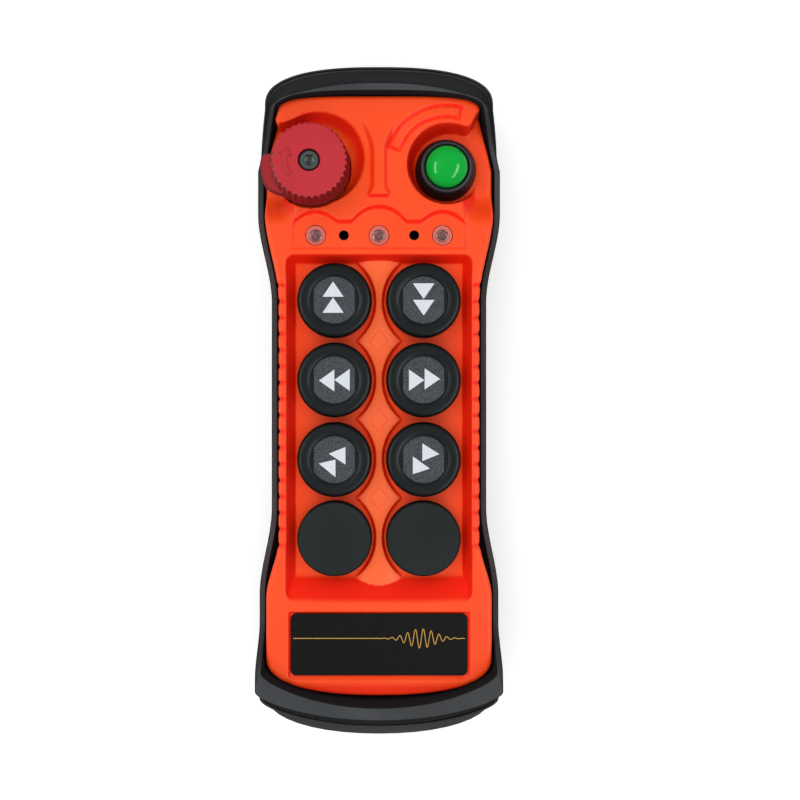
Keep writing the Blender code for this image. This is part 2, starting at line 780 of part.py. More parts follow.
antenna_route = [
    (0.0, antenna_y, stand_z),
    (0.0, antenna_y, antenna_z),
    (0.0, antenna_y + ANTENNA_REACH / 2, antenna_z),
    (-ANTENNA_REACH * 2, antenna_y + ANTENNA_REACH / 2, antenna_z),
]
strand = wire.splines.new("POLY")
strand.points.add(len(antenna_route) - 1)
for point, place in zip(strand.points, antenna_route):
    point.co = (*place, 1.0)
wire.materials.append(bright_steel)
station.objects.link(bpy.data.objects.new("antenna", wire))

# Gasket between the shells
gasket_low = rear_top + GAP
put(
    "shell_gasket",
    plate(
        "shell_gasket",
        [flat(outline(0.0, -GAP)), flat(outline(0.0, -GAP - GASKET_WIDTH))],
        gasket_low,
        gasket_low + GASKET_THICKNESS,
    ),
    gasket_rubber,
)

# Front shell: a lid with a sunk button pocket, two control wells, a status band and a label recess
front_shell = put(
    "front_shell",
    loft(
        "front_shell",
        [
            outline(front_bottom),
            outline(deck_z - DECK_EDGE),
            outline(deck_z - DECK_EDGE * EDGE_BREAK, -DECK_EDGE * EDGE_BREAK),
            outline(deck_z, -DECK_EDGE),
        ],
    ),
    orange_plastic,
)


def pocket_ring(height, grow, side, head, tail):
    x = floor_half_width + side + grow
    low = floor_tail_y - tail - grow
    high = floor_head_y + head + grow
    return rounded(-x, x, low, high, POCKET_CORNER + grow, height)


pocket_draft = (POCKET_SIDE_DRAFT, POCKET_HEAD_DRAFT, POCKET_RAMP)
pocket = cutter(
    "pocket",
    loft(
        "pocket",
        [
            pocket_ring(floor_z, 0.0, 0.0, 0.0, 0.0),
            pocket_ring(deck_z, 0.0, *pocket_draft),
            pocket_ring(deck_z + OVERSHOOT, 0.0, *pocket_draft),
        ],
    ),
)
pocket_keep = cutter(
    "pocket_keep",
    loft(
        "pocket_keep",
        [
            pocket_ring(floor_underside, PANEL, 0.0, 0.0, 0.0),
            pocket_ring(deck_z, PANEL, *pocket_draft),
        ],
    ),
)
scallop = button_radius + SCALLOP_CLEARANCE


def spine_half(y):
    """Half the width of the raised spine between the two columns, hollowed round each button."""
    nearest = min(abs(y - row_y(row)) for row in range(4))
    return min(column_x - math.sqrt(max(scallop**2 - nearest**2, 0.0)), SPINE_CUSP)


spine_stations = spread(floor_tail_y - OVERSHOOT, floor_head_y + OVERSHOOT, SPINE_STEPS)
spine_right = [(spine_half(y), y) for y in spine_stations]
spine = cutter(
    "spine",
    plate(
        "spine",
        [spine_right + [(-x, y) for x, y in reversed(spine_right)]],
        floor_z - OVERSHOOT,
        floor_z + SPINE_HEIGHT,
    ),
)
cut(pocket, spine)

wells = []
well_keeps = []
controls = (("estop", estop_x, ESTOP_WELL_RADIUS, -1), ("start", start_x, START_WELL_RADIUS, 1))
for control, x, radius, side in controls:
    flank = side * 2 * waist_half_width
    low_x = min(x, flank)
    high_x = max(x, flank)
    name = control + "_well"
    wells.append(cutter(name, cylinder(name, radius, well_z, deck_z + OVERSHOOT, x, well_y, CONTROL_SIDES)))
    name = control + "_flank"
    flank_low = (low_x, well_y - FLANK_GAP / 2, well_z)
    flank_high = (high_x, well_y + FLANK_GAP / 2, deck_z + OVERSHOOT)
    wells.append(cutter(name, block(name, flank_low, flank_high)))
    name = control + "_well_keep"
    keep_low = well_z - PANEL
    keep = cylinder(name, radius + PANEL, keep_low, deck_z, x, well_y, CONTROL_SIDES)
    well_keeps.append(cutter(name, keep))
    name = control + "_flank_keep"
    keep_flank_low = (low_x, well_y - FLANK_GAP / 2 - PANEL, keep_low)
    keep_flank_high = (high_x, well_y + FLANK_GAP / 2 + PANEL, deck_z)
    well_keeps.append(cutter(name, block(name, keep_flank_low, keep_flank_high)))

front_hollow = cutter(
    "front_hollow",
    loft("front_hollow", [outline(front_bottom - OVERSHOOT, -WALL), outline(deck_z - PANEL, -WALL)]),
)
boss_keep = cylinders(
    "boss_keep", [(boss_radius, front_bottom - 2 * OVERSHOOT, deck_z, x, y) for x, y in SCREWS]
)
cut(front_hollow, pocket_keep, *well_keeps, boss_keep)

band_half = BAND_LENGTH / 2
band = cutter(
    "band",
    plate(
        "band",
        [rounded(-BAND_HALF_WIDTH, BAND_HALF_WIDTH, lamp_y - band_half, lamp_y + band_half, LABEL_CORNER)],
        deck_z - BAND_DEPTH,
        deck_z + OVERSHOOT,
    ),
)
label_half_width = LABEL_WIDTH / 2
label_half_length = LABEL_LENGTH / 2


def label_loop(grow):
    return rounded(
        -label_half_width - grow, label_half_width + grow,
        label_y - label_half_length - grow, label_y + label_half_length + grow, LABEL_CORNER + grow,
    )


label_recess = cutter(
    "label_recess",
    plate("label_recess", [label_loop(LABEL_MARGIN)], deck_z - LABEL_RECESS, deck_z + OVERSHOOT),
)
lamp_xs = (-LAMP_PITCH, 0.0, LAMP_PITCH)
bore_low = min(floor_underside, well_z - PANEL) - OVERSHOOT
bore_high = deck_z + OVERSHOOT
bores = [(LAMP_DIAMETER / 2 + GAP, bore_low, bore_high, x, lamp_y) for x in lamp_xs]
bores += [(PORT_DIAMETER / 2, bore_low, bore_high, side * PORT_PITCH / 2, lamp_y) for side in (-1, 1)]
bores += [
    (plunger_radius + RUN_GAP, bore_low, bore_high, side * column_x, row_y(row))
    for name, side, row in BUTTONS + BLANKS
]
bores += [(screw_radius + GAP, front_bottom - OVERSHOOT, screw_tip + GAP, x, y) for x, y in SCREWS]
bores += [(ESTOP_BARREL_DIAMETER / 2 + GAP, bore_low, bore_high, estop_x, well_y)]
bores += [(START_BARREL_DIAMETER / 2 + GAP, bore_low, bore_high, start_x, well_y)]
front_bores = cylinders("front_bores", bores)
cut(front_shell, front_hollow, pocket, *wells, band, label_recess, front_bores)

put("label_plate", plate("label_plate", [label_loop(0.0)], 0.0, LABEL_THICKNESS), label_black,
    (0.0, 0.0, deck_z - LABEL_RECESS + GAP))

# Bumper: a rubber hoop round the front shell, low along the grip and raised at both ends
bumper_bottom = rear_top + GAP


def rim_height(y):
    rise = max(ease(1 - (head_y - y) / RIM_RAMP), ease(1 - (y - tail_y) / RIM_RAMP))
    return rail_z + (rim_z - rail_z) * rise


def chamfer_height(y):
    return rim_height(y) - RIM_CHAMFER


rim_reach = GAP + RIM_INSET + RIM_WIDTH
rim_form = dict(bumper_form, side=BUMPER_SIDE - RIM_SIDE_INSET, head=rim_reach, tail=rim_reach)
put(
    "bumper",
    loft(
        "bumper",
        [
            outline(bumper_bottom, **bumper_form),
            outline(bumper_bottom + BUMPER_FOOT, **bumper_form),
            outline(chamfer_height, RIM_SIDE_INSET, **rim_form),
            outline(rim_height, **rim_form),
            outline(rim_height, GAP + RIM_INSET),
            outline(bumper_bottom, GAP),
        ],
        closed=True,
    ),
    bumper_rubber,
)

# Push buttons: cap, legend plate and plunger move together over a switch on the board
cap_top = cap_z + BUTTON_HEIGHT
dish_z = cap_top - BUTTON_DISH
dish_radius = button_radius - BUTTON_RIM
cup_z = dish_z - BUTTON_CROWN
cap_profile = [
    (0.0, dish_z),
    (dish_radius, dish_z),
    (dish_radius, cap_top - BUTTON_ROUND / 2),
    (dish_radius + BUTTON_ROUND / 2, cap_top),
    (button_radius - BUTTON_ROUND, cap_top),
    (button_radius, cap_top - BUTTON_ROUND),
    (button_radius, cap_z),
    (button_radius - BUTTON_WALL, cap_z),
    (button_radius - BUTTON_WALL, cup_z),
    (0.0, cup_z),
]
flange_radius = PLUNGER_FLANGE_DIAMETER / 2
flange_top = plunger_bottom + PLUNGER_FLANGE_THICKNESS
plunger_profile = [
    (0.0, cup_z - GAP),
    (plunger_radius, cup_z - GAP),
    (plunger_radius, flange_top),
    (flange_radius, flange_top),
    (flange_radius, plunger_bottom),
    (0.0, plunger_bottom),
]


def double_d(angle):
    """The legend plate's edge: a circle with a flat on its left and on its right."""
    return min(LEGEND_DIAMETER / 2, LEGEND_FLATS / 2 / max(abs(math.cos(angle)), 1e-6))


legend_z = dish_z + GAP
switch_rings = [
    square(SWITCH_SIZE, SWITCH_POINTS, stand_z),
    square(SWITCH_SIZE, SWITCH_POINTS, stand_z + SWITCH_BODY_HEIGHT),
    circle(SWITCH_ACTUATOR_DIAMETER / 2, SWITCH_POINTS, stand_z + SWITCH_BODY_HEIGHT),
    circle(SWITCH_ACTUATOR_DIAMETER / 2, SWITCH_POINTS, switch_top),
]
for name, side, row in BUTTONS:
    axis = (side * column_x, row_y(row), 0.0)
    button = moving(name + "_button", axis)
    turned(name + "_button_cap", cap_profile, cap_rubber, BUTTON_SIDES, (0.0, 0.0, 0.0), button)
    legend_name = name + "_button_legend"
    legend = plate(legend_name, [polar(double_d, LEGEND_POINTS)], legend_z, legend_z + LEGEND_THICKNESS)
    put(legend_name, legend, legend_grey, parent=button)
    turned(name + "_button_plunger", plunger_profile, nylon_white, SMALL_SIDES, (0.0, 0.0, 0.0), button)
    put(name + "_button_switch", loft(name + "_button_switch", switch_rings), black_plastic, axis)

# Blank plugs in the two unused places
plug_top = floor_z + GAP + PLUG_HEIGHT
plug_profile = [
    (0.0, plug_top),
    (button_radius - BUTTON_ROUND, plug_top),
    (button_radius - BUTTON_ROUND * EDGE_BREAK, plug_top - BUTTON_ROUND * EDGE_BREAK),
    (button_radius, plug_top - BUTTON_ROUND),
    (button_radius, floor_z + GAP),
    (plunger_radius, floor_z + GAP),
    (plunger_radius, floor_underside - PLUG_STEM),
    (0.0, floor_underside - PLUG_STEM),
]
for name, side, row in BLANKS:
    turned("blank_plug_" + name, plug_profile, cap_rubber, BUTTON_SIDES, (side * column_x, row_y(row), 0.0))

# Status lamps: clear light pipes from the board to the band
lamp_top = deck_z - BAND_DEPTH
lamp_radius = LAMP_DIAMETER / 2
lamp_stem_radius = LAMP_STEM_DIAMETER / 2
lamp_profile = [
    (0.0, lamp_top + LAMP_DOME),
    (lamp_radius * LAMP_SHOULDER, lamp_top + LAMP_DOME * LAMP_SHOULDER_RISE),
    (lamp_radius, lamp_top),
    (lamp_radius, lamp_top - LAMP_HEAD_HEIGHT),
    (lamp_stem_radius, lamp_top - LAMP_HEAD_HEIGHT),
    (lamp_stem_radius, stand_z),
    (0.0, stand_z),
]
for name, x in zip(("left", "middle", "right"), lamp_xs):
    turned("status_lamp_" + name, lamp_profile, lamp_clear, SMALL_SIDES, (x, lamp_y, 0.0))


def nut_and_block(control, x, barrel_radius):
    """The hexagon nut under a well and the contact block between the barrel and the board."""
    nut_top = well_z - PANEL - GAP
    across = 2 * (barrel_radius + NUT_WALL)
    loops = [hexagon(across, 6), circle(barrel_radius + GAP, SMALL_SIDES)]
    put(control + "_nut", plate(control + "_nut", loops, nut_top - NUT_THICKNESS, nut_top), bright_steel,
        (x, well_y, 0.0))
    low = (x - BLOCK_SIZE / 2, well_y - BLOCK_SIZE / 2, stand_z)
    high = (x + BLOCK_SIZE / 2, well_y + BLOCK_SIZE / 2, barrel_bottom - GAP)
    put(control + "_contact_block", block(control + "_contact_block", low, high), black_plastic)


# Emergency stop: fixed barrel, shaft that is pushed down, head and collar that turn on the shaft
well_floor = well_z + GAP
estop_axis = (estop_x, well_y, 0.0)
barrel_radius = ESTOP_BARREL_DIAMETER / 2
shaft_radius = ESTOP_SHAFT_DIAMETER / 2
shaft_bore = shaft_radius + RUN_GAP
estop_flange_top = well_floor + ESTOP_FLANGE_THICKNESS
turned(
    "estop_barrel",
    [
        (shaft_bore, estop_flange_top),
        (ESTOP_FLANGE_DIAMETER / 2, estop_flange_top),
        (ESTOP_FLANGE_DIAMETER / 2, well_floor),
        (barrel_radius, well_floor),
        (barrel_radius, barrel_bottom),
        (shaft_bore, barrel_bottom),
    ],
    black_plastic, CONTROL_SIDES, estop_axis, hoop=True,
)
nut_and_block("estop", estop_x, barrel_radius)

collar_low = estop_flange_top + GAP + ESTOP_TRAVEL
collar_high = collar_low + ESTOP_COLLAR_THICKNESS
head_low = collar_high + GAP
head_high = head_low + ESTOP_HEAD_HEIGHT
estop_screw_top = head_high - ESTOP_SCREW_SINK
screw_seat = estop_screw_top - ESTOP_SCREW_HEAD_HEIGHT
screw_bottom = screw_seat - ESTOP_SCREW_GRIP
seat_z = screw_seat - GAP
bore_top = seat_z - ESTOP_WEB
shaft_top = bore_top - GAP
tapped_radius = ESTOP_SCREW_DIAMETER / 2 + GAP
estop_press = moving("estop_press", estop_axis)
turned(
    "estop_shaft",
    [
        (0.0, screw_bottom - GAP),
        (tapped_radius, screw_bottom - GAP),
        (tapped_radius, shaft_top),
        (shaft_radius, shaft_top),
        (shaft_radius, barrel_bottom + ESTOP_TRAVEL),
        (0.0, barrel_bottom + ESTOP_TRAVEL),
    ],
    bright_steel, SMALL_SIDES, (0.0, 0.0, 0.0), estop_press,
)
screw_rings = [
    circle(ESTOP_SCREW_DIAMETER / 2, SOCKET_SIDES, screw_bottom),
    circle(ESTOP_SCREW_DIAMETER / 2, SOCKET_SIDES, screw_seat),
    circle(ESTOP_SCREW_HEAD_DIAMETER / 2, SOCKET_SIDES, screw_seat),
    circle(ESTOP_SCREW_HEAD_DIAMETER / 2, SOCKET_SIDES, estop_screw_top),
    hexagon(HEX_SOCKET, SOCKET_SIDES, estop_screw_top),
    hexagon(HEX_SOCKET, SOCKET_SIDES, estop_screw_top - HEX_SOCKET_DEPTH),
]
put("estop_screw", loft("estop_screw", screw_rings), screw_steel, parent=estop_press)

estop_turn = moving("estop_turn", (0.0, 0.0, 0.0), estop_press)
collar_radius = ESTOP_COLLAR_DIAMETER / 2


def ear(angle):
    """The collar's edge: a circle with one finger ear that points left."""
    away = min(abs(angle - math.pi) / ESTOP_EAR_SPREAD, 1.0)
    return collar_radius + (ESTOP_EAR_REACH - collar_radius) * math.cos(away * math.pi / 2)


collar_loops = [polar(ear, COLLAR_POINTS), circle(shaft_bore, SMALL_SIDES)]
collar = plate("estop_collar", collar_loops, collar_low, collar_high)
put("estop_collar", collar, collar_red, parent=estop_turn)
knob_points = 2 * ESTOP_TEETH


def toothed(radius, height):
    def edge(angle):
        return radius - ESTOP_TOOTH * (round(angle * ESTOP_TEETH / math.pi) % 2)

    return polar(edge, knob_points, height)


knob_seat_radius = ESTOP_SCREW_HEAD_DIAMETER / 2 + GAP
knob_top_radius = ESTOP_HEAD_TOP_DIAMETER / 2
knob_rings = [
    toothed(ESTOP_HEAD_DIAMETER / 2, head_low),
    toothed(knob_top_radius, head_high - ESTOP_EDGE),
    circle(knob_top_radius - ESTOP_TOOTH - ESTOP_EDGE / 2, knob_points, head_high),
    circle(knob_seat_radius, knob_points, head_high),
    circle(knob_seat_radius, knob_points, seat_z),
    circle(tapped_radius, knob_points, seat_z),
    circle(tapped_radius, knob_points, bore_top),
    circle(shaft_bore, knob_points, bore_top),
    circle(shaft_bore, knob_points, head_low),
]
put("estop_head", loft("estop_head", knob_rings, closed=True), stop_red, parent=estop_turn)

# Start button: a green dome that is pressed into a fixed bezel
start_axis = (start_x, well_y, 0.0)
bezel_top = well_floor + START_BEZEL_HEIGHT
dome_radius = START_DOME_DIAMETER / 2
dome_bore = dome_radius + RUN_GAP
stem_radius = START_STEM_DIAMETER / 2
stem_bore = stem_radius + RUN_GAP
start_barrel_radius = START_BARREL_DIAMETER / 2
bezel_ledge = bezel_top - START_SKIRT - START_TRAVEL - GAP
turned(
    "start_bezel",
    [
        (dome_bore, bezel_top),
        (START_BEZEL_TOP_DIAMETER / 2, bezel_top),
        (START_BEZEL_BASE_DIAMETER / 2, well_floor + START_BEZEL_FOOT),
        (START_BEZEL_BASE_DIAMETER / 2, well_floor),
        (start_barrel_radius, well_floor),
        (start_barrel_radius, barrel_bottom),
        (stem_bore, barrel_bottom),
        (stem_bore, bezel_ledge),
        (dome_bore, bezel_ledge),
    ],
    black_plastic, CONTROL_SIDES, start_axis, hoop=True,
)
nut_and_block("start", start_x, start_barrel_radius)
dome_profile = [
    (dome_radius * math.sin(angle), bezel_top + START_DOME_HEIGHT * math.cos(angle))
    for angle in spread(0.0, math.pi / 2, DOME_STEPS)
]
skirt_z = bezel_top - START_SKIRT
dome_profile += [
    (dome_radius, skirt_z),
    (stem_radius, skirt_z),
    (stem_radius, barrel_bottom + START_TRAVEL),
    (0.0, barrel_bottom + START_TRAVEL),
]
start_button = moving("start_button", start_axis)
turned("start_dome", dome_profile, start_green, CONTROL_SIDES, (0.0, 0.0, 0.0), start_button)

# Shell screws, up through the rear shell into the bosses of the front shell
screw_head_top = SCREW_SEAT - GAP
screw_head_low = screw_head_top - SCREW_HEAD_HEIGHT
screw_profile = [
    (0.0, screw_tip),
    (screw_radius, screw_tip),
    (screw_radius, screw_head_top),
    (SCREW_HEAD_DIAMETER / 2, screw_head_top),
    (SCREW_HEAD_DIAMETER / 2, screw_head_low),
    (screw_radius, screw_head_low),
    (0.0, screw_head_low + SCREW_DRIVE_DEPTH),
]
for number, (x, y) in enumerate(SCREWS, start=1):
    turned("shell_screw_" + str(number), screw_profile, screw_steel, SMALL_SIDES, (x, y, 0.0))
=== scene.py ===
import math

import bmesh
import bpy
import numpy as np
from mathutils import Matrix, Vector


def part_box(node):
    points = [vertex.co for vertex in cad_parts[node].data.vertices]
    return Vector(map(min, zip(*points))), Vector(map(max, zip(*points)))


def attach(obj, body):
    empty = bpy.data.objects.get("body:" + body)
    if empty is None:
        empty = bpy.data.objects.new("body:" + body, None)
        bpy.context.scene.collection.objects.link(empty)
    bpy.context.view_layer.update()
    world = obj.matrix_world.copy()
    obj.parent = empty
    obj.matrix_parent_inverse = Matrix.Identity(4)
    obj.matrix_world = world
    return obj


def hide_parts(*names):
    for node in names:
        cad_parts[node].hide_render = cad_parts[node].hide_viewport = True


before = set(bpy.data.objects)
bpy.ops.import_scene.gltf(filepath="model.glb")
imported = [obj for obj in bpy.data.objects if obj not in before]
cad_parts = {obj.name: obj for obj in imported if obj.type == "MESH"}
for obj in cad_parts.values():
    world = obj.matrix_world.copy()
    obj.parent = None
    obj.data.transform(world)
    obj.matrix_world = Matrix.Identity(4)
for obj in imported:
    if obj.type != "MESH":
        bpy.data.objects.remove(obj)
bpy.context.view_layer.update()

# Rear shell. A black glass-filled nylon tub, moulded in one with its battery bay and screw columns.
# It draws in to a flat back, and its tail stands out past the bumper as a heel.
# Four screws from the back hold it to the front shell.
MM = 0.001
GAP = 0.3
OVERSHOOT = 1.0
WAIST = 30.9
HEAD_FLARE = 4.3
TAIL_FLARE = 3.8
FRONT_TAPER = (5.4, 1.1)
FRONT_HEAD_CORNER = (5.6, 4.4, 0.0)
FRONT_TAIL_CORNER = (11.0, 2.6, 1.2)
START_WELL_RADIUS = 13.0
POCKET_TO_LABEL = 4.6
CORNER_STEPS = 400
SIDE_STEPS = 800
CROSSWISE = 0.3
TUB_POINTS = 130
REAR_CHEEK = 6.0
REAR_CHEEK_HEIGHT = 14.0
REAR_WALL = 2.4
REAR_FLOOR = 2.8
REAR_LIP = 0.5
REAR_REBATE = 2.7
BAY_WALL = 1.8
CELL_ROOM = 0.5
CONTACT_ROOM = 2.4
SLIDE_ROOM = 0.4
TONGUE = 1.8
TONGUE_THICKNESS = 1.0
CHANNEL_RUN_OUT = 20.0
COLUMN_RADIUS = 5.0
SCREW_SEAT = 12.0
SCREW_SEAT_RADIUS = 3.2
rear_form = dict(
    side=1.3, head=12.0, tail=16.4, taper=(1.3, 2.0),
    head_corner=(12.0, 2.7, 0.7), tail_corner=(11.0, 2.2, 0.8),
)


class Value:
    """A socket in a finish. Arithmetic on values adds Math nodes to it."""

    def __init__(self, finish, socket):
        self.finish = finish
        self.socket = socket

    def math(self, operation, first, second):
        return self.finish.node("Math", {"operation": operation}, {0: first, 1: second})

    def __add__(self, other):
        return self.math("ADD", self, other)

    def __sub__(self, other):
        return self.math("SUBTRACT", self, other)

    def __rsub__(self, other):
        return self.math("SUBTRACT", other, self)

    def __mul__(self, other):
        return self.math("MULTIPLY", self, other)

    __radd__ = __add__
    __rmul__ = __mul__


class Finish:
    """A material, or the sky of the studio, that is put together node by node round one shader."""

    def __init__(self, name, owner=None, shader="Principled BSDF"):
        self.material = owner or bpy.data.materials.new(name)
        self.material.use_nodes = True
        self.tree = self.material.node_tree
        self.shader = self.tree.nodes[shader]
        self.place = self.node("TexCoord", output="Object")

    def feed(self, socket, value):
        if isinstance(value, Value):
            self.tree.links.new(value.socket, socket)
        else:
            socket.default_value = value

    def node(self, kind, settings=None, sockets=None, output=0):
        """A node of one kind: its settings first, then the values or links of its sockets."""
        node = self.tree.nodes.new("ShaderNode" + kind)
        for key, value in (settings or {}).items():
            setattr(node, key, value)
        for key, value in (sockets or {}).items():
            self.feed(node.inputs[key], value)
        return Value(self, node.outputs[output])

    def noise(self, scale, detail, roughness=0.5):
        sockets = {"Vector": self.place, "Scale": scale, "Detail": detail, "Roughness": roughness}
        return self.node("TexNoise", None, sockets, "Fac")

    def cells(self, scale):
        return self.node("TexVoronoi", None, {"Vector": self.place, "Scale": scale}, "Distance")

    def band(self, value, low, high):
        """0 below low, 1 above high and a smooth rise between them."""
        sockets = {"Value": value, "From Min": low, "From Max": high}
        return self.node("MapRange", {"interpolation_type": "SMOOTHSTEP"}, sockets)

    def blend(self, share, first, second):
        return self.node("Mix", {"data_type": "RGBA"}, {0: share, 6: first, 7: second}, 2)

    def upward(self):
        """How far a face looks up: 1 on a level face, 0 on an upright wall."""
        normal = self.node("TexCoord", output="Normal")
        return self.node("SeparateXYZ", None, {0: normal}, "Z")

    def shade(self, sockets, height=None, depth=0.0):
        """Set the shader's sockets, with a height in relief as its normal."""
        for key, value in sockets.items():
            self.feed(self.shader.inputs[key], value)
        if height is not None:
            relief = {"Strength": 1.0, "Distance": depth * MM, "Height": height}
            self.feed(self.shader.inputs["Normal"], self.node("Bump", None, relief))
        return self.material


def tint(red, green, blue):
    """A display colour of 0 to 255 as a linear colour."""
    steps = [value / 255 for value in (red, green, blue)]
    return (*[v / 12.92 if v <= 0.04045 else ((v + 0.055) / 1.055) ** 2.4 for v in steps], 1.0)


def moulded(name, dark, light, wall_shade_color, rough, grain, depth, specular=0.5, steep=0.6, flat=0.97):
    """Moulded plastic or rubber: a slow drift of colour, a fine eroded grain and a few dull scuffs.

    Its upright walls are painted a darker colour than its level faces, as painted shade.
    """
    finish = Finish(name)
    drift = finish.noise(45.0, 3.0)
    fine = finish.noise(grain, 3.0, 0.6)
    pores = finish.cells(grain * 0.8)
    scuffs = finish.band(finish.noise(160.0, 6.0, 0.7), 0.62, 0.8)
    face = finish.blend(finish.band(drift * 0.7 + fine * 0.3, 0.3, 0.7), tint(*dark), tint(*light))
    # Painted shade: faces that turn from level to upright take the darker wall colour.
    upright = 1 - finish.band(finish.upward(), steep, flat)
    sockets = {
        "Base Color": finish.blend(upright, face, tint(*wall_shade_color)),
        "Roughness": rough - 0.06 + fine * 0.12 + scuffs * 0.1,
        "Specular IOR Level": specular,
    }
    return finish.shade(sockets, fine * 0.6 + pores * 0.4, depth)


def span(node):
    """The lowest and the highest corner of a piece of the frame, in millimetres."""
    low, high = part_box(node)
    return np.array(low) / MM, np.array(high) / MM


def centre(node):
    """The middle of a piece of the frame's box, in millimetres."""
    low, high = span(node)
    return (low + high) / 2


def round_box(node):
    """A round piece of the frame: its axis, its radius and its lowest and highest height."""
    low, high = span(node)
    x, y, z = (low + high) / 2
    return x, y, (high[0] - low[0]) / 2, low[2], high[2]


def ease(value):
    """A smooth rise from 0 to 1."""
    value = np.clip(value, 0.0, 1.0)
    return value * value * (3 - 2 * value)


front_low, front_high = span("front_shell")
tail_y = front_low[1]
head_y = front_high[1]
deck = front_high[2]
well_y = centre("start_bezel")[1]
row_nodes = ("up_button_cap", "left_button_cap", "back_button_cap", "blank_plug_left")
row_ys = [centre(node)[1] for node in row_nodes]
column_x = centre("down_button_cap")[0]
label_low, label_high = span("label_plate")
pocket_tail_y = label_high[1] + POCKET_TO_LABEL


def half_width(y, taper, flare, early):
    """Half the housing's width along its length: drawn in at the grip and towards the head."""
    drawn, power = taper
    width = WAIST + HEAD_FLARE * ease((y - row_ys[0]) / (well_y - START_WELL_RADIUS - row_ys[0]))
    width = width + TAIL_FLARE * ease((row_ys[3] + early - y) / (row_ys[3] + early - pocket_tail_y))
    width = width - drawn * np.clip((y - well_y) / (head_y - well_y), 0.0, 1.0) ** power
    return width + flare * ease((label_high[1] - y) / (label_high[1] - tail_y))


def plan(
    count, grow, side=0.0, head=0.0, tail=0.0, taper=FRONT_TAPER, flare=0.0, early=0.0,
    head_corner=FRONT_HEAD_CORNER, tail_corner=FRONT_TAIL_CORNER,
):
    """The right half of the housing's plan outline, from the middle of the tail to that of the head.

    Each end is bowed and turns into the side through a corner of its own size and squareness.
    """
    ends = []
    for size, power, bow in (tail_corner, head_corner):
        turn = np.linspace(0.0, math.pi / 2, CORNER_STEPS)
        share = np.sin(turn) ** (2 / power)
        ends.append((share, bow * share**2 + size * (1 - np.cos(turn) ** (2 / power))))
    tail_ys = tail_y - tail - grow + ends[0][1]
    head_ys = head_y + head + grow - ends[1][1]
    side_ys = np.linspace(tail_ys[-1], head_ys[-1], SIDE_STEPS)[1:-1]
    y = np.concatenate([tail_ys, side_ys, head_ys[::-1]])
    share = np.concatenate([ends[0][0], np.ones(len(side_ys)), ends[1][0][::-1]])
    x = share * (half_width(y, taper, flare, early) + side + grow)
    run = np.concatenate([[0.0], np.cumsum(np.hypot(CROSSWISE * np.diff(x), np.diff(y)))])
    places = np.linspace(0.0, run[-1], count)
    return np.interp(places, run, x), np.interp(places, run, y)


def hoop(half, height):
    """A closed ring of points from the right half of an outline, at a height or heights."""
    x, y = half
    right = np.column_stack([x, y, np.broadcast_to(height, x.shape)])
    left = right[-2:0:-1] * (-1.0, 1.0, 1.0)
    return np.vstack([right, left])


def mesh_of(points, faces):
    """A mesh from points in millimetres, with doubled points merged and its faces turned outward."""
    mesh = bpy.data.meshes.new("shape")
    corners = [tuple(dict.fromkeys(face)) for face in faces]
    whole = [face for face in corners if len(face) > 2]
    mesh.from_pydata([tuple(point) for point in np.asarray(points) * MM], [], whole)
    cleaned = bmesh.new()
    cleaned.from_mesh(mesh)
    bmesh.ops.remove_doubles(cleaned, verts=cleaned.verts, dist=0.001 * MM)
    bmesh.ops.recalc_face_normals(cleaned, faces=cleaned.faces)
    cleaned.to_mesh(mesh)
    cleaned.free()
    return mesh


def strip(low, high):
    """The faces between two closed rows of equally many points."""
    return [(low[k - 1], low[k], high[k], high[k - 1]) for k in range(len(low))]


def loft(rings, closed=False):
    """A solid through rings of equally many points, capped at its ends or closed into a hoop."""
    count = len(rings[0])
    rows = [range(number * count, (number + 1) * count) for number in range(len(rings))]
    faces = [] if closed else [tuple(rows[0])[::-1], tuple(rows[-1])]
    for low, high in zip(rows, rows[1:] + rows[:1] if closed else rows[1:]):
        faces += strip(low, high)
    return mesh_of(np.vstack(rings), faces)


def turned(profile, sides, x=0.0, y=0.0):
    """A solid turned about an upright axis from (radius, height) points, bottom first."""
    angles = np.linspace(0.0, 2 * math.pi, sides, endpoint=False)
    points = []
    rows = []
    for radius, height in profile:
        if radius == 0.0:
            rows.append([len(points)] * sides)
            points.append((x, y, height))
        else:
            rows.append(range(len(points), len(points) + sides))
            points += [(x + radius * math.cos(a), y + radius * math.sin(a), height) for a in angles]
    faces = []
    for low, high in zip(rows, rows[1:]):
        faces += strip(low, high)
    return mesh_of(points, faces)


def arc(radius, height, size, start, end, steps=6):
    """Points of a rounded edge in a profile, by its centre, its size and its angles in degrees."""
    angles = np.radians(np.linspace(start, end, steps + 1))
    return [(radius + size * math.cos(a), height + size * math.sin(a)) for a in angles]


def bar(radius, low, high, x, y, sides=40):
    """A plain upright round bar, for a screw column or as a drill."""
    return turned([(0.0, low), (radius, low), (radius, high), (0.0, high)], sides, x, y)


def box(half, tail, head, low, high):
    """A plain block across the middle line, by half its width, its ends and its heights."""
    corners = ((-half, tail), (half, tail), (half, head), (-half, head))
    return loft([[(*corner, z) for corner in corners] for z in (low, high)])


def gathered(meshes):
    """One mesh out of several that lie apart."""
    whole = bmesh.new()
    for mesh in meshes:
        whole.from_mesh(mesh)
    result = bpy.data.meshes.new("shape")
    whole.to_mesh(result)
    whole.free()
    return result


def carved(mesh, *tools):
    """A mesh with the tool meshes cut out of it."""
    body = bpy.data.objects.new("blank", mesh)
    made = [body]
    for tool in tools:
        helper = bpy.data.objects.new("tool", tool)
        made.append(helper)
        body.modifiers.new("cut", "BOOLEAN").object = helper
    for thing in made:
        bpy.context.scene.collection.objects.link(thing)
    graph = bpy.context.evaluated_depsgraph_get()
    result = bpy.data.meshes.new_from_object(body.evaluated_get(graph))
    for thing in made:
        bpy.data.objects.remove(thing)
    result.materials.clear()
    return result


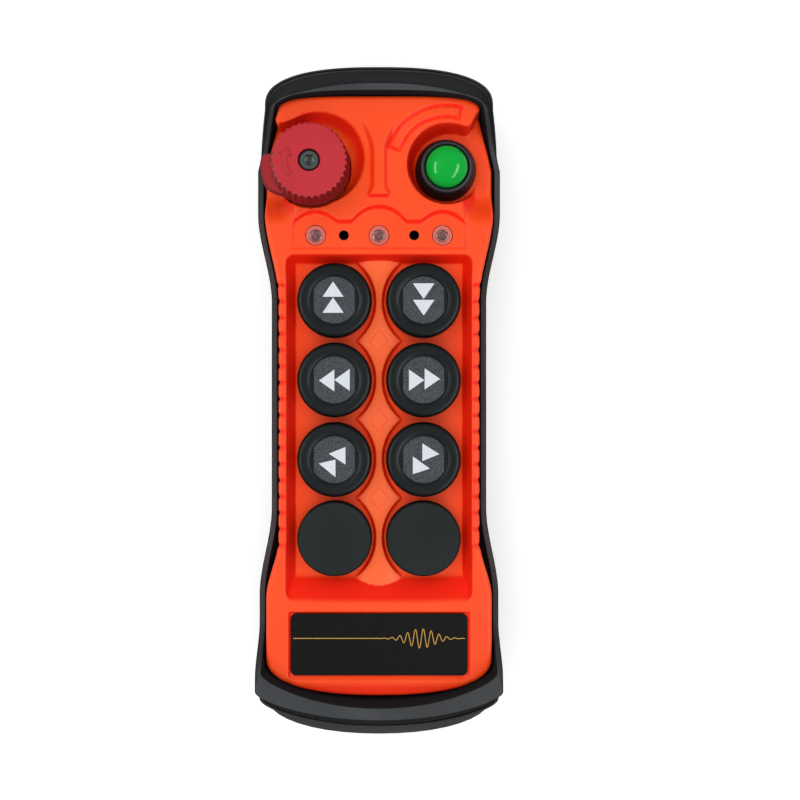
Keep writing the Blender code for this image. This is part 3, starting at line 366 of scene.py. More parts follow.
def piece(name, mesh, material, body, nodes=(), sharp=35):
    """Put a mesh in the scene, say what it rides on and what it is made of, and hide the pieces of the
    frame it stands for.
    """
    mesh.name = name
    mesh.shade_smooth()
    mesh.set_sharp_from_angle(angle=math.radians(sharp))
    mesh.materials.append(material)
    thing = bpy.data.objects.new(name, mesh)
    bpy.context.scene.collection.objects.link(thing)
    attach(thing, body)
    if nodes:
        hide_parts(*nodes)


def rear_ring(height, grow=0.0):
    """A ring round the tub at one height, grown from its outline or drawn in."""
    return hoop(plan(TUB_POINTS, grow, **rear_form), height)


rear_top = span("rear_shell")[1][2]
tub_rings = []
hollow_rings = []
for turn in np.radians(np.linspace(0, 90, 11)):
    inward = -REAR_CHEEK * (1 - math.sin(turn))
    rise = 1 - math.cos(turn)
    tub_rings.append(rear_ring(REAR_CHEEK_HEIGHT * rise, inward))
    inner = REAR_FLOOR + (REAR_CHEEK_HEIGHT - REAR_FLOOR) * rise
    hollow_rings.append(rear_ring(inner, inward - REAR_WALL))
tub_rings.append(rear_ring(rear_top - REAR_LIP))
tub_rings.append(rear_ring(rear_top - 0.3 * REAR_LIP, -0.3 * REAR_LIP))
tub_rings.append(rear_ring(rear_top, -REAR_LIP))
hollow_rings.append(rear_ring(rear_top - REAR_REBATE, -REAR_WALL))
for height in (rear_top - REAR_REBATE, rear_top + OVERSHOOT):
    hollow_rings.append(hoop(plan(TUB_POINTS, -REAR_WALL), height))

door_low, door_high = span("battery_door")
bay_low, bay_high = span("battery_left")[0], span("battery_right")[1]
bay_half = bay_high[0] + CELL_ROOM
bay_ceiling = bay_high[2] + CELL_ROOM
bay_tail = bay_low[1] - CONTACT_ROOM
bay_head = bay_high[1] + CONTACT_ROOM
slide_half = door_high[0] + SLIDE_ROOM
slide_top = door_high[2] + SLIDE_ROOM
lip_top = door_high[2] - TONGUE_THICKNESS
channel_tail = door_low[1] - CHANNEL_RUN_OUT
channel_head = door_high[1] + GAP
shell_screws = [centre("shell_screw_" + str(number)) for number in (1, 2, 3, 4)]
bay_block = box(
    bay_half + BAY_WALL, bay_tail - BAY_WALL, bay_head + BAY_WALL, 0.0, bay_ceiling + BAY_WALL
)
slab = box(slide_half + BAY_WALL, channel_tail, channel_head + BAY_WALL, 0.0, slide_top + BAY_WALL)
columns = [bar(COLUMN_RADIUS, 0.0, rear_top + 2 * OVERSHOOT, x, y) for x, y, z in shell_screws]
hollow = carved(loft(hollow_rings), bay_block, slab, *columns)
bay_room = box(bay_half, bay_tail, bay_head, -OVERSHOOT, bay_ceiling)
channel = box(slide_half - TONGUE, channel_tail, channel_head, -OVERSHOOT, slide_top)
tongues = box(slide_half, channel_tail, channel_head, lip_top - SLIDE_ROOM, slide_top)
seats = [bar(SCREW_SEAT_RADIUS, -OVERSHOOT, SCREW_SEAT, x, y) for x, y, z in shell_screws]
tub = carved(loft(tub_rings), hollow, bay_room, channel, tongues, *seats)
# The third colour is painted shade on upright faces.
black_nylon = moulded(
    "black_nylon", (50, 51, 49), (59, 60, 58), (34, 35, 34),
    rough=0.5, grain=2600.0, depth=0.06, specular=0.12,
)
piece("rear_tub", tub, black_nylon, "housing", ["rear_shell"])

# Battery door. A black nylon slide with a tongue along each edge, which runs in the tub's channel.
# A thumb on the sunk grip with five ridges, near its head end, pushes it off over the tail.
DOOR_EDGE = 0.4
GRIP_INSET = 10.0
GRIP_HALF = 10.0
GRIP_LENGTH = 7.0
GRIP_DEPTH = 0.8
GRIP_RIDGES = 5
GRIP_PITCH = 1.2
GRIP_RIDGE_RADIUS = 0.45
GRIP_RIDGE_HALF = 9.2
door_half = door_high[0]
face_half = door_half - TONGUE
right_section = [
    (face_half - DOOR_EDGE, door_low[2]), (face_half, door_low[2] + DOOR_EDGE), (face_half, lip_top),
    (door_half, lip_top), (door_half, door_high[2]),
]
section = right_section + [(-x, z) for x, z in reversed(right_section)]
door = loft([[(x, y, z) for x, z in section] for y in (door_high[1], door_low[1])])
grip_tail = door_high[1] - GRIP_INSET
grip_floor = door_low[2] + GRIP_DEPTH
door = carved(door, box(GRIP_HALF, grip_tail, grip_tail + GRIP_LENGTH, -OVERSHOOT, grip_floor))
piece("battery_cover", door, black_nylon, "battery_door", ["battery_door"])
for number in range(GRIP_RIDGES):
    y = grip_tail + (GRIP_LENGTH - (GRIP_RIDGES - 1) * GRIP_PITCH) / 2 + number * GRIP_PITCH
    outline = arc(y, grip_floor, GRIP_RIDGE_RADIUS, 0, -180, 8)
    ridge = loft([[(x, *place) for place in outline] for x in (-GRIP_RIDGE_HALF, GRIP_RIDGE_HALF)])
    piece("battery_cover_ridge_" + str(number + 1), ridge, black_nylon, "battery_door")

# Cells and contacts. Two round cells in printed foil jackets lie side by side, one of them turned about.
# Bowed spring-steel leaves press on them at the bay's tail, and a flat steel bridge joins them at its head.
CELL_SHOULDER = 1.0
CELL_NUB = 1.0
JACKET_SPLIT = -47.0
JACKET_BLUR = 0.2


def grained(name, dark, light, rough, spread, scale, depth, detail=4.0, metallic=0.0, specular=0.5):
    """A finish with one grain that runs through its colour, its roughness and its relief."""
    finish = Finish(name)
    grain = finish.noise(scale, detail)
    sockets = {
        "Base Color": finish.blend(grain, tint(*dark), tint(*light)),
        "Roughness": rough + grain * spread,
        "Metallic": metallic,
        "Specular IOR Level": specular,
    }
    return finish.shade(sockets, grain, depth)


def dress(material, *nodes):
    """Give pieces of the frame that stay as they are their finish."""
    for node in nodes:
        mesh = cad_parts[node].data
        mesh.materials.clear()
        mesh.materials.append(material)


jacket = Finish("cell_jacket")
along = jacket.node("SeparateXYZ", None, {0: jacket.place}, "Y")
jacket_band = jacket.band(along, JACKET_SPLIT * MM, (JACKET_SPLIT + JACKET_BLUR) * MM)
jacket_grain = jacket.noise(900.0, 4.0)
jacket_color = jacket.blend(jacket_band, tint(38, 46, 74), tint(150, 104, 52))
cell_jacket = jacket.shade(
    {
        "Base Color": jacket.blend(jacket_grain * 0.25, jacket_color, tint(90, 92, 104)),
        "Roughness": 0.28 + jacket_grain * 0.14,
        "Metallic": 0.4,
    },
    jacket_grain, 0.02,
)
bright_steel = grained(
    "bright_steel", (176, 176, 174), (205, 205, 203),
    rough=0.22, spread=0.2, scale=700.0, depth=0.02, metallic=1.0,
)
for side, turn in (("left", 1.0), ("right", -1.0)):
    low, high = span("battery_" + side)
    radius = (high[0] - low[0]) / 2
    length = high[1] - low[1]
    base = -length / 2
    can = length / 2 - CELL_NUB
    profile = [(0.0, base), (3.2, base), (3.6, base + 0.3), (radius - 0.8, base + 0.3)]
    profile += arc(radius - CELL_SHOULDER, base + 0.3 + CELL_SHOULDER, CELL_SHOULDER, -90, 0)
    profile += arc(radius - CELL_SHOULDER, can - CELL_SHOULDER, CELL_SHOULDER, 0, 90)
    profile += [(3.4, can), (3.2, can - 0.2), (2.75, can - 0.2), (2.75, can + 0.7)]
    profile += [(2.4, can + CELL_NUB), (0.0, can + CELL_NUB)]
    cell = turned(profile, 48)
    points = np.array([vertex.co for vertex in cell.vertices]) / MM
    laid = np.column_stack([points[:, 0], points[:, 2] * turn, -points[:, 1] * turn]) + (low + high) / 2
    cell.vertices.foreach_set("co", (laid * MM).ravel())
    piece("cell_" + side, cell, cell_jacket, "housing", ["battery_" + side])
dress(bright_steel, "contact_leaf_left", "contact_leaf_right", "contact_bridge")

# Main board. A green glass-epoxy board with a screened radio module, a wire antenna, a sounder and
# six sealed switches. It stands on posts of the tub, closed in by the two shells and their gasket.
board = Finish("board_green")
weave = board.cells(1400.0)
board_green = board.shade(
    {
        "Base Color": board.blend(board.band(weave, 0.2, 0.6), tint(12, 70, 34), tint(24, 98, 50)),
        "Roughness": 0.32 + weave * 0.15,
    },
    weave, 0.03,
)
# The third colour is painted shade on upright faces.
gasket_foam = moulded(
    "gasket_foam", (46, 46, 46), (62, 62, 61), (44, 44, 44),
    rough=0.85, grain=1800.0, depth=0.1,
)
buttons = ("up", "down", "left", "right", "back", "forward")
dress(board_green, "main_board")
dress(bright_steel, "radio_module", "antenna")
dress(black_nylon, "sounder", *[name + "_button_switch" for name in buttons])
dress(gasket_foam, "shell_gasket")

# Front shell. One orange moulding of tough ABS with a soft-edged deck, pressed down on the gasket.
# Sunk into it are the button pocket with its scalloped spine, two control wells that open to the flanks,
# the lamp band under a wavy step, and the label recess. Short ribs run down both sides of the grip.
COLUMNS = 220
ROWS = 540
EDGE = 1.3
FRONT_WALL = 2.4
LAND_RISE = 0.9
LAND_RUN = 9.0
BROW_RISE = 2.2
BROW_Y = 80.0
BROW_RUN = 7.0
ARM_X = 14.6
ARM_Y = 76.0
ARM_RADIUS = 13.3
ARM_WALL = 1.5
RIDGE_HALF = 1.3
RIDGE_SPLAY = 1.2
RIDGE_SPLAY_Y = 66.5
FOOT_Y = 62.4
BAND_HALF = 26.6
BAND_LOW_Y = 47.0
BAND_RISE = 4.75
BAND_DIP = 0.7
BAND_GROOVE = 0.25
WAVE_WALL = 1.3
WAVE_RADII = (7.8, 9.4, 7.8)
STOP_WELL = (2.4, 2.75, 13.9)
STOP_SHELF = 0.5
STOP_WALL = 0.8
STOP_SLANT = 4.0
STOP_SLANT_Y = 62.0
STOP_BROW_Y = 84.8
STOP_BLEND = 2.4
COLLAR_ROOM = 12.4
START_WELL = (0.2, 1.05, 12.2)
START_WALL = 1.2
START_SLANT = 1.3
START_SLANT_Y = 60.0
START_BROW_Y = 82.9
START_BROW_BEND = (25.5, 0.25)
START_BLEND = 2.0
SLANT_RUN = 8.0
WELL_SEAT = 6.5
FLANK_FOOT = 53.5
FLANK_RAMP = 10.5
FLANK_FADE = 6.0
FLANK_START = 4.0
POCKET_SIDE_WALL = 2.7
POCKET_HEAD_WALL = 2.2
POCKET_CORNER = 3.0
POCKET_TAIL = 3.4
POCKET_RAMP = 7.4
PLUG_HEIGHT = 6.7
BUTTON_RADIUS = 11.5
BUTTON_ROOM = 0.85
LAMP_TO_POCKET = 5.9
SPINE_X = 16.5
SPINE_RADIUS = 14.9
SPINE_RISE = 2.1
SPINE_BEND = 0.033
SPINE_FLAT = 7.5
SPINE_HALF = 10.0
DIAMOND = (3.2, 3.8)
DIAMOND_CUT = 0.28
RECESS_DEPTH = 1.2
RECESS_LEFT = 0.75
RECESS_RIGHT = 1.15
RECESS_HEAD = 0.6
RECESS_TAIL = 2.0
RECESS_WALL = 0.6
RECESS_SLOPE = 1.3
TAIL_DROP = 1.2
PANEL_REACH = 17.0
PANEL_HALF = 1.75
PANEL_BEARING = 118.0
PANEL_SWEEP = 42.0
RIB_TAIL = 2.0
RIB_HEAD = 8.0
RIB_PITCH = 5.0
RIB_NOTCH = 0.36
PORT_X = 10.8
BARREL_HOLE = 6.9
BEZEL_HOLE = 5.9
LAMP_HOLE = 3.2
PORT_HOLE = 1.55
PLUNGER_HOLE = 3.0
PLUG_HOLE = 3.7
DRILL_LOW = 20.0
DRILL_HIGH = 60.0
PROBE = 0.15
estop_x = centre("estop_barrel")[0]
start_x = centre("start_bezel")[0]
well_z = span("estop_barrel")[0][2] + WELL_SEAT
lamp_y = centre("status_lamp_middle")[1]
lamp_xs = [centre("status_lamp_" + name)[0] for name in ("left", "middle", "right")]
pocket_floor = span("blank_plug_left")[1][2] - PLUG_HEIGHT
pocket_half = column_x + BUTTON_RADIUS + BUTTON_ROOM + POCKET_SIDE_WALL
pocket_head_y = lamp_y - LAMP_TO_POCKET
rib_low_y = row_ys[3] - RIB_TAIL
rib_high_y = row_ys[0] + RIB_HEAD


def soft_max(first, second, size):
    """The larger of two heights, with the corner where they meet rounded by a size."""
    return np.maximum(first, second) + np.maximum(size - np.abs(first - second), 0.0) ** 2 / (4 * size)


def soft_min(first, second, size):
    """The smaller of two heights, rounded in the same way."""
    return -soft_max(-first, -second, size)


def slope(share):
    """A straight wall with small rounds at its top and its foot, from 0 to 1."""
    return np.clip(soft_min(soft_max(share, 0.0, 0.12), 1.0, 0.12), 0.0, 1.0)


def groove(distance, width, depth):
    """The depth of a round-bottomed groove, by the distance from its middle."""
    return depth * np.exp(-((distance / width) ** 2))


def rib_notch(y, width):
    """How near a place along the grip is to the groove between two ribs, from 0 to 1."""
    away = (y - rib_low_y + RIB_PITCH / 2) % RIB_PITCH - RIB_PITCH / 2
    return groove(away, width, 1.0) * ((y > rib_low_y - 1.0) & (y < rib_high_y + 1.0))


def wave_edge(x):
    """The upper edge of the lamp band, which arches over each lamp."""
    edge = np.full_like(x, lamp_y + BAND_RISE)
    for lamp_x, radius in zip(lamp_xs, WAVE_RADII):
        rise = np.sqrt(np.maximum(radius**2 - (x - lamp_x) ** 2, 0.0))
        edge = soft_max(edge, lamp_y + rise, 1.6)
    return edge


def band_border(x, y):
    """How near a place is to the fine groove by the sides and foot of the lamp band, from 0 to 1."""
    outside = np.maximum(np.abs(x) - BAND_HALF, BAND_LOW_Y - y)
    return groove(outside, 0.3, 1.0) * (y < wave_edge(x) - WAVE_WALL)


def head_relief(x, y):
    """The stepped head: the lamp band, the land above it, the brow and the ridge between the wells."""
    across = np.abs(x)
    in_band = ease((BAND_HALF - across) / 0.7)
    step = slope((y - wave_edge(x) + WAVE_WALL) / WAVE_WALL)
    shoulder = ease((y - lamp_y) / LAND_RUN)
    dip = BAND_DIP * np.clip((y - BAND_LOW_Y) / (lamp_y + BAND_RISE - BAND_LOW_Y), 0.0, 1.0)
    relief = in_band * (LAND_RISE * step - dip * (1 - step)) + (1 - in_band) * LAND_RISE * shoulder
    ridge_half = RIDGE_HALF + RIDGE_SPLAY * ease((RIDGE_SPLAY_Y - y) / 4.0)
    outside = np.where(y > ARM_Y, np.hypot(across - ARM_X, y - ARM_Y) - ARM_RADIUS, ridge_half - across)
    arms = slope((outside + ARM_WALL) / ARM_WALL) * slope((y - FOOT_Y) / 0.9)
    brow = np.maximum(arms, ease((y - BROW_Y) / BROW_RUN))
    return relief + (BROW_RISE - LAND_RISE) * brow - BAND_GROOVE * band_border(x, y)


def dished(outside, wall):
    """The depth of a bowl with a steep rim and a hollow foot, by how far outside its edge a place is."""
    return 1 - (1 - slope(-outside / wall)) ** 2


def flank_share(y, away):
    """How open a well is on its flank: fully beside its control, and up a gentle ramp below that."""
    ramp = ease((y - FLANK_FOOT) / FLANK_RAMP)
    return ramp * np.maximum(ease((y - well_y) / FLANK_FADE), ease((away - FLANK_START) / FLANK_FADE))


def stop_depth(x, y):
    """The emergency stop's well: a shelf round the head, and full depth under the collar and its ear."""
    dx, dy, radius = STOP_WELL
    bowl = np.hypot(x - estop_x - dx, y - well_y - dy) - radius
    room = np.hypot(x - estop_x, y - well_y) - COLLAR_ROOM
    slant = ease((x - estop_x + 8.0) / 14.0) * ease((y - STOP_SLANT_Y) / SLANT_RUN)
    wall = STOP_WALL + STOP_SLANT * slant
    flank = np.maximum(y - STOP_BROW_Y, x - estop_x)
    open_side = dished(soft_min(bowl, flank, STOP_BLEND), wall) * flank_share(y, estop_x - x)
    open_side = open_side * ease((estop_x + 4.0 - x) / 8.0)
    shelf = STOP_SHELF * dished(bowl, wall)
    return np.maximum(np.maximum(shelf, dished(room, STOP_WALL)), open_side)


def start_depth(x, y):
    """The start button's well: a bowl that is steep at the flank and sloped at the middle."""
    dx, dy, radius = START_WELL
    bowl = np.hypot(x - start_x - dx, y - well_y - dy) - radius
    slant = ease((start_x - x + 6.0) / 12.0) * ease((y - START_SLANT_Y) / SLANT_RUN)
    wall = START_WALL + START_SLANT * slant
    bend_x, bend = START_BROW_BEND
    brow_y = START_BROW_Y + bend * np.maximum(x - bend_x, 0.0) ** 2
    flank = np.maximum(y - brow_y, start_x + 2.0 - x)
    open_side = dished(soft_min(bowl, flank, START_BLEND), wall) * flank_share(y, x - start_x)
    return np.maximum(dished(bowl, wall), open_side)


def pocket_depth(x, y):
    """How far into the button pocket a place is, from 0 on the deck to 1 on its floor."""
    side = pocket_half - np.abs(x)
    head = (pocket_head_y - y) * POCKET_SIDE_WALL / POCKET_HEAD_WALL
    tail = y - label_high[1] - POCKET_TAIL - 0.5 * (x / pocket_half) ** 2
    short_side = np.maximum(POCKET_CORNER - side, 0.0)
    short_end = np.maximum(POCKET_CORNER - np.minimum(head, tail), 0.0)
    edge = POCKET_CORNER - np.hypot(short_side, short_end)
    return np.minimum(slope(edge / POCKET_SIDE_WALL), slope(tail / POCKET_RAMP))


def spine_height(x, y):
    """The crowned spine between the button columns, hollowed round each button, with cut diamonds."""
    across = np.abs(x)
    clear = np.min([np.hypot(across - SPINE_X, y - row_y) for row_y in row_ys], axis=0) - SPINE_RADIUS
    raised = ease(clear / 0.8) * ease((SPINE_HALF - across) / 2.0)
    crown = SPINE_RISE - SPINE_BEND * np.minimum(across, SPINE_FLAT) ** 2
    for upper, lower in zip(row_ys, row_ys[1:]):
        ring = across / DIAMOND[0] + np.abs(y - (upper + lower) / 2) / DIAMOND[1] - 1
        crown = crown - groove(ring * 2.4, 0.3, DIAMOND_CUT)
    return raised * crown


def label_depth(x, y):
    """How far into the label recess a place is: steep at its head and left, sloped at the others."""
    left = (x - label_low[0] + RECESS_LEFT) / RECESS_WALL
    right = (label_high[0] + RECESS_RIGHT - x) / RECESS_SLOPE
    head = (label_high[1] + RECESS_HEAD - y) / RECESS_WALL
    tail = (y - label_low[1] + RECESS_TAIL) / RECESS_TAIL
    across, along = np.minimum(left, right), np.minimum(head, tail)
    short_across, short_along = [1 - np.clip(share, 0.0, 1.0) for share in (across, along)]
    return slope(1 - (short_across**3 + short_along**3) ** (1 / 3))


def panel_edge(x, y):
    """How far a place lies outside the curved panel over the start button."""
    reach = np.hypot(x - start_x, y - well_y)
    bearing = np.degrees(np.arctan2(y - well_y, x - start_x))
    past_end = np.radians(np.abs(bearing - PANEL_BEARING) - PANEL_SWEEP) * reach
    return np.maximum(np.abs(reach - PANEL_REACH) - PANEL_HALF, past_end)


def front_height(x, y):
    """The height of the front shell's outer surface."""
    z = deck + head_relief(x, y) - TAIL_DROP * ease((label_low[1] - 1.0 - y) / 6.0)
    z = z - groove(panel_edge(x, y), 0.4, 0.7)
    inside = pocket_depth(x, y)
    sunk = z * (1 - inside) + pocket_floor * inside
    z = np.where(inside > 0.0, np.maximum(sunk, pocket_floor + spine_height(x, y)), z)
    into = np.maximum(stop_depth(x, y), start_depth(x, y))
    z = z * (1 - into) + well_z * into
    z = z - RECESS_DEPTH * label_depth(x, y)
    ribs = ease((y - rib_low_y) / 1.0) * ease((rib_high_y - y) / 1.0)
    rim = ease((np.abs(x) - pocket_half - 0.2) / 0.4)
    z = z - 0.6 * rim * rib_notch(y, 0.42)
    return z - groove(np.abs(x) - pocket_half - 0.35, 0.3, 0.36) * ribs


def ribbed(grow):
    """Half the front shell's outline, notched between its ribs."""
    x, y = plan(ROWS, grow)
    return x - RIB_NOTCH * rib_notch(y, 0.7), y


inner_x, inner_y = ribbed(-EDGE)
shares = np.linspace(-1.0, 1.0, COLUMNS + 1)
grid_x = inner_x[:, None] * shares[None, :]
grid_y = np.repeat(inner_y[:, None], COLUMNS + 1, axis=1)
grid_z = front_height(grid_x, grid_y)
points = [np.column_stack([grid_x.ravel(), grid_y.ravel(), grid_z.ravel()])]
places = np.arange(grid_x.size).reshape(grid_x.shape)
corners = (places[:-1, :-1], places[:-1, 1:], places[1:, 1:], places[1:, :-1])
faces = np.stack(corners, axis=-1).reshape(-1, 4).tolist()
border = np.concatenate([places[:, -1], places[-2:0:-1, 0]]).tolist()
rim_z = grid_z.ravel()[border]
skirt = [
    (ribbed(-EDGE * (1 - math.sin(turn))), rim_z - EDGE * (1 - math.cos(turn)))
    for turn in np.radians([20, 40, 60, 75, 90])
]
skirt += [(ribbed(0.0), front_low[2]), (plan(ROWS, -FRONT_WALL), front_low[2])]
skirt += [(plan(ROWS, -FRONT_WALL), well_z - FRONT_WALL)]
total = grid_x.size
for half, height in skirt:
    ring = hoop(half, 0.0)
    ring[:, 2] = height
    points.append(ring)
    fresh = list(range(total, total + len(border)))
    faces += strip(border, fresh)
    border = fresh
    total += len(border)
for k in range(ROWS - 1):
    left = -k % len(border)
    faces.append((border[k], border[left], border[left - 1], border[k + 1]))
front = mesh_of(np.vstack(points), faces)
holes = [(estop_x, well_y, BARREL_HOLE), (start_x, well_y, BEZEL_HOLE)]
holes += [(lamp_x, lamp_y, LAMP_HOLE) for lamp_x in lamp_xs]
holes += [(-PORT_X, lamp_y, PORT_HOLE), (PORT_X, lamp_y, PORT_HOLE)]
holes += [(*centre(name + "_button_plunger")[:2], PLUNGER_HOLE) for name in buttons]
holes += [(*centre("blank_plug_" + name)[:2], PLUG_HOLE) for name in ("left", "right")]
drills = [bar(radius, DRILL_LOW, DRILL_HIGH, x, y, 48) for x, y, radius in holes]
front = carved(front, gathered(drills))

# Walls and grooves of the moulding are painted a deeper red as painted shade, less where a wall faces the
# head, and the spine's crown is painted a paler orange as painted light.
x, y, z = np.array([vertex.co for vertex in front.vertices]).T / MM
steep_x = (front_height(x + PROBE, y) - front_height(x - PROBE, y)) / (2 * PROBE)
steep_y = (front_height(x, y + PROBE) - front_height(x, y - PROBE)) / (2 * PROBE)
steep = np.hypot(steep_x, steep_y)
within = np.abs(x) < np.interp(y, inner_y, inner_x) - 0.05
headward = ease(-steep_y / np.maximum(steep, 0.05)) * (y > lamp_y)
sunk = pocket_depth(x, y)
spine = spine_height(x, y)
on_spine = (z < pocket_floor + spine + 0.05) & (spine > 0.1)
tail_ramp_shade = ease(sunk / 0.15) * ease((1 - sunk) / 0.15) * (y < row_ys[3] - 11.0) * ~on_spine
# Painted shade: the share of deeper red on walls, grooves, the slope below the label and the pocket's tail
# ramp.
wall = np.max(
    [
        within * ease((steep - 0.35) / 0.9) * (1 - 0.8 * headward),
        groove(panel_edge(x, y), 0.4, 0.9) * (z > well_z + 2.0),
        0.9 * rib_notch(y, 0.6) * (z > deck - 4.0) * (np.abs(x) > pocket_half),
        0.7 * ease((label_low[1] - 2.0 - y) / 2.0) * (z > deck - 6.0),
        0.7 * band_border(x, y) * (z > deck - 2.0),
        tail_ramp_shade,
    ],
    axis=0,
)
# Painted light: the share of paler orange on the spine's raised crown.
crown = ease((spine - 0.4) / 1.2) * (sunk > 0.0) * on_spine
for name, share in (("wall", wall), ("crown", crown)):
    front.attributes.new(name, "FLOAT", "POINT").data.foreach_set("value", share)

orange = Finish("orange_plastic")
drift = orange.noise(30.0, 3.0)
speck = orange.noise(3000.0, 3.0, 0.6)
satin = orange.cells(2400.0)
rubbed = orange.band(orange.noise(120.0, 6.0, 0.7), 0.6, 0.8)
cloudy = orange.band(drift * 0.8 + speck * 0.2, 0.3, 0.7)
orange_wall_shade, crown_highlight = [
    orange.node("Attribute", {"attribute_name": name}, None, "Fac") for name in ("wall", "crown")
]
orange_color = orange.blend(cloudy, tint(250, 70, 18), tint(253, 78, 25))
# Painted light on the spine's crown, then painted shade on walls and grooves.
orange_color = orange.blend(crown_highlight, orange_color, tint(255, 104, 52))
orange_color = orange.blend(orange_wall_shade, orange_color, tint(252, 34, 6))
orange_plastic = orange.shade(
    {
        "Base Color": orange_color,
        "Roughness": 0.42 + speck * 0.12 + rubbed * 0.08,
        "Specular IOR Level": 0.12,
    },
    speck * 0.5 + satin * 0.5, 0.05,
)
piece("front_moulding", front, orange_plastic, "housing", ["front_shell"], 60)

# Sound ports. Two black plastic plugs pressed into the lamp band, one on each side of its middle lamp.
# The tone of the sounder comes out through the bore in each.
PORT_RADIUS = 1.54
PORT_LENGTH = 6.0
PORT_LIP = 0.12
PORT_BORE = 1.25
PORT_BORE_DEPTH = 5.5
PORT_STAND = 0.1
# The third colour is painted shade on upright faces.
port_black = moulded(
    "port_black", (20, 20, 20), (26, 26, 26), (8, 8, 8),
    rough=0.6, grain=2600.0, depth=0.04, specular=0.05,
)
port_top = deck - BAND_DIP * 0.45 + PORT_STAND
for side, x in (("left", -PORT_X), ("right", PORT_X)):
    base = port_top - PORT_LENGTH
    floor = port_top - PORT_BORE_DEPTH
    profile = [(0.0, base), (PORT_RADIUS, base)]
    profile += arc(PORT_RADIUS - PORT_LIP, port_top - PORT_LIP, PORT_LIP, 0, 180)
    profile += [(PORT_BORE + 0.05, port_top - 0.25), (PORT_BORE, floor), (0.0, floor)]
    port = turned(profile, 40, x, lamp_y)
    piece("sound_port_" + side, port, port_black, "housing")

# Status lamps. Clear polycarbonate light pipes from the board, each a low dome in a collar ring.
# A dull metal cup and a pink disc of the lamp below are seen through the dome.
PIPE_RADIUS = 2.2
LAMP_RADIUS = 3.05
LAMP_LIP = 0.2
LAMP_LENGTH = 4.0
LENS_RADIUS = 2.3
LENS_SINK = 0.1
LENS_RISE = 0.8
clear = Finish("lamp_clear")
flow = clear.noise(800.0, 3.0)
lamp_clear = clear.shade(
    {
        "Base Color": clear.blend(flow, tint(250, 150, 140), tint(255, 178, 168)),
        "Roughness": 0.05 + flow * 0.05,
        "Alpha": 0.08 + flow * 0.06,
    },
    flow, 0.01,
)
lamp_disc = grained(
    "lamp_disc", (212, 92, 80), (232, 122, 110),
    rough=0.5, spread=0.2, scale=1500.0, depth=0.02, detail=3.0,
)
cup_finish = Finish("lamp_metal")
dull = cup_finish.noise(1900.0, 3.0)
cup_color = cup_finish.blend(cup_finish.band(dull, 0.35, 0.65), tint(30, 9, 9), tint(112, 86, 86))
lamp_metal = cup_finish.shade(
    {"Base Color": cup_color, "Roughness": 0.25 + dull * 0.3, "Metallic": 0.5}, dull, 0.05
)
top = deck - GAP
for side, x in zip(("left", "middle", "right"), lamp_xs):
    base = span("status_lamp_" + side)[0][2]
    shoulder = top - LAMP_LENGTH
    lens_foot = top - LENS_SINK
    profile = [(0.0, base), (PIPE_RADIUS, base), (PIPE_RADIUS, shoulder), (LAMP_RADIUS, shoulder)]
    profile += [(LAMP_RADIUS, top)]
    profile += arc(LAMP_RADIUS - LAMP_LIP, top, LAMP_LIP, 0, 90, 3)
    profile += [(LENS_RADIUS + LAMP_LIP, top + LAMP_LIP), (LENS_RADIUS, lens_foot)]
    for lean in np.radians([75, 60, 45, 30, 15]):
        profile.append((LENS_RADIUS * math.sin(lean), lens_foot + LENS_RISE * math.cos(lean)))
    profile += [(0.0, lens_foot + LENS_RISE)]
    lamp = turned(profile, 40, x, lamp_y)
    piece("lamp_" + side, lamp, lamp_clear, "housing", ["status_lamp_" + side])
    profile = [(0.0, top - 2.4), (2.95, top - 2.4), (2.95, top - 0.3), (2.75, top - 0.15)]
    profile += [(1.95, top - 1.0), (1.95, top - 2.0), (0.0, top - 2.0)]
    disc = turned(profile, 40, x, lamp_y)
    piece("lamp_disc_" + side, disc, lamp_disc, "housing")
    profile = [(0.0, top - 1.95), (1.85, top - 1.95), (1.85, top - 1.0), (1.6, top - 0.9)]
    profile += [(0.8, top - 1.5), (0.5, top - 1.5), (0.5, top - 0.9)]
    profile += [(0.35, top - 0.7), (0.0, top - 0.65)]
    cup = turned(profile, 24, x, lamp_y)
    piece("lamp_cup_" + side, cup, lamp_metal, "housing")

# Label plate. A thin black anodised plate with round corners, glued into its recess in the deck's tail.
# A fine gold line with one burst of waves is printed along it.
PLATE_CORNER = 1.7
PLATE_EDGE = 0.15
TRACE_WIDTH = 0.25
TRACE_HEIGHT = 0.05
TRACE_DROP = 7.6
TRACE_INSET = 0.8
BURST_X = 13.0
BURST_HALF = 6.0
BURST_HEIGHT = 3.0
BURST_RATE = 2.6
label_black = grained(
    "label_black", (10, 11, 10), (16, 16, 15),
    rough=0.4, spread=0.14, scale=600.0, depth=0.02, specular=0.06,
)
gold_print = grained(
    "gold_print", (150, 112, 40), (178, 138, 58),
    rough=0.35, spread=0.2, scale=900.0, depth=0.01, metallic=0.5,
)


def plate_ring(inset, height):
    """The plate's outline, drawn in all round, counter-clockwise."""
    corner = PLATE_CORNER - inset
    right, left = x1 - PLATE_CORNER, x0 + PLATE_CORNER
    head, tail = y1 - PLATE_CORNER, y0 + PLATE_CORNER
    points = arc(right, head, corner, 0, 90) + arc(left, head, corner, 90, 180)
    points += arc(left, tail, corner, 180, 270) + arc(right, tail, corner, 270, 360)
    return [(*point, height) for point in points]


def ribbon(path, width, low, high):
    """A flat printed line of one width along a path of (x, y) points."""
    along = np.gradient(path, axis=0)
    across = np.column_stack([-along[:, 1], along[:, 0]])
    across /= np.linalg.norm(across, axis=1)[:, None]
    rings = []
    for point, normal in zip(path, across):
        left = point + normal * width / 2
        right = point - normal * width / 2
        rings.append([(*left, low), (*right, low), (*right, high), (*left, high)])
    return loft(rings)


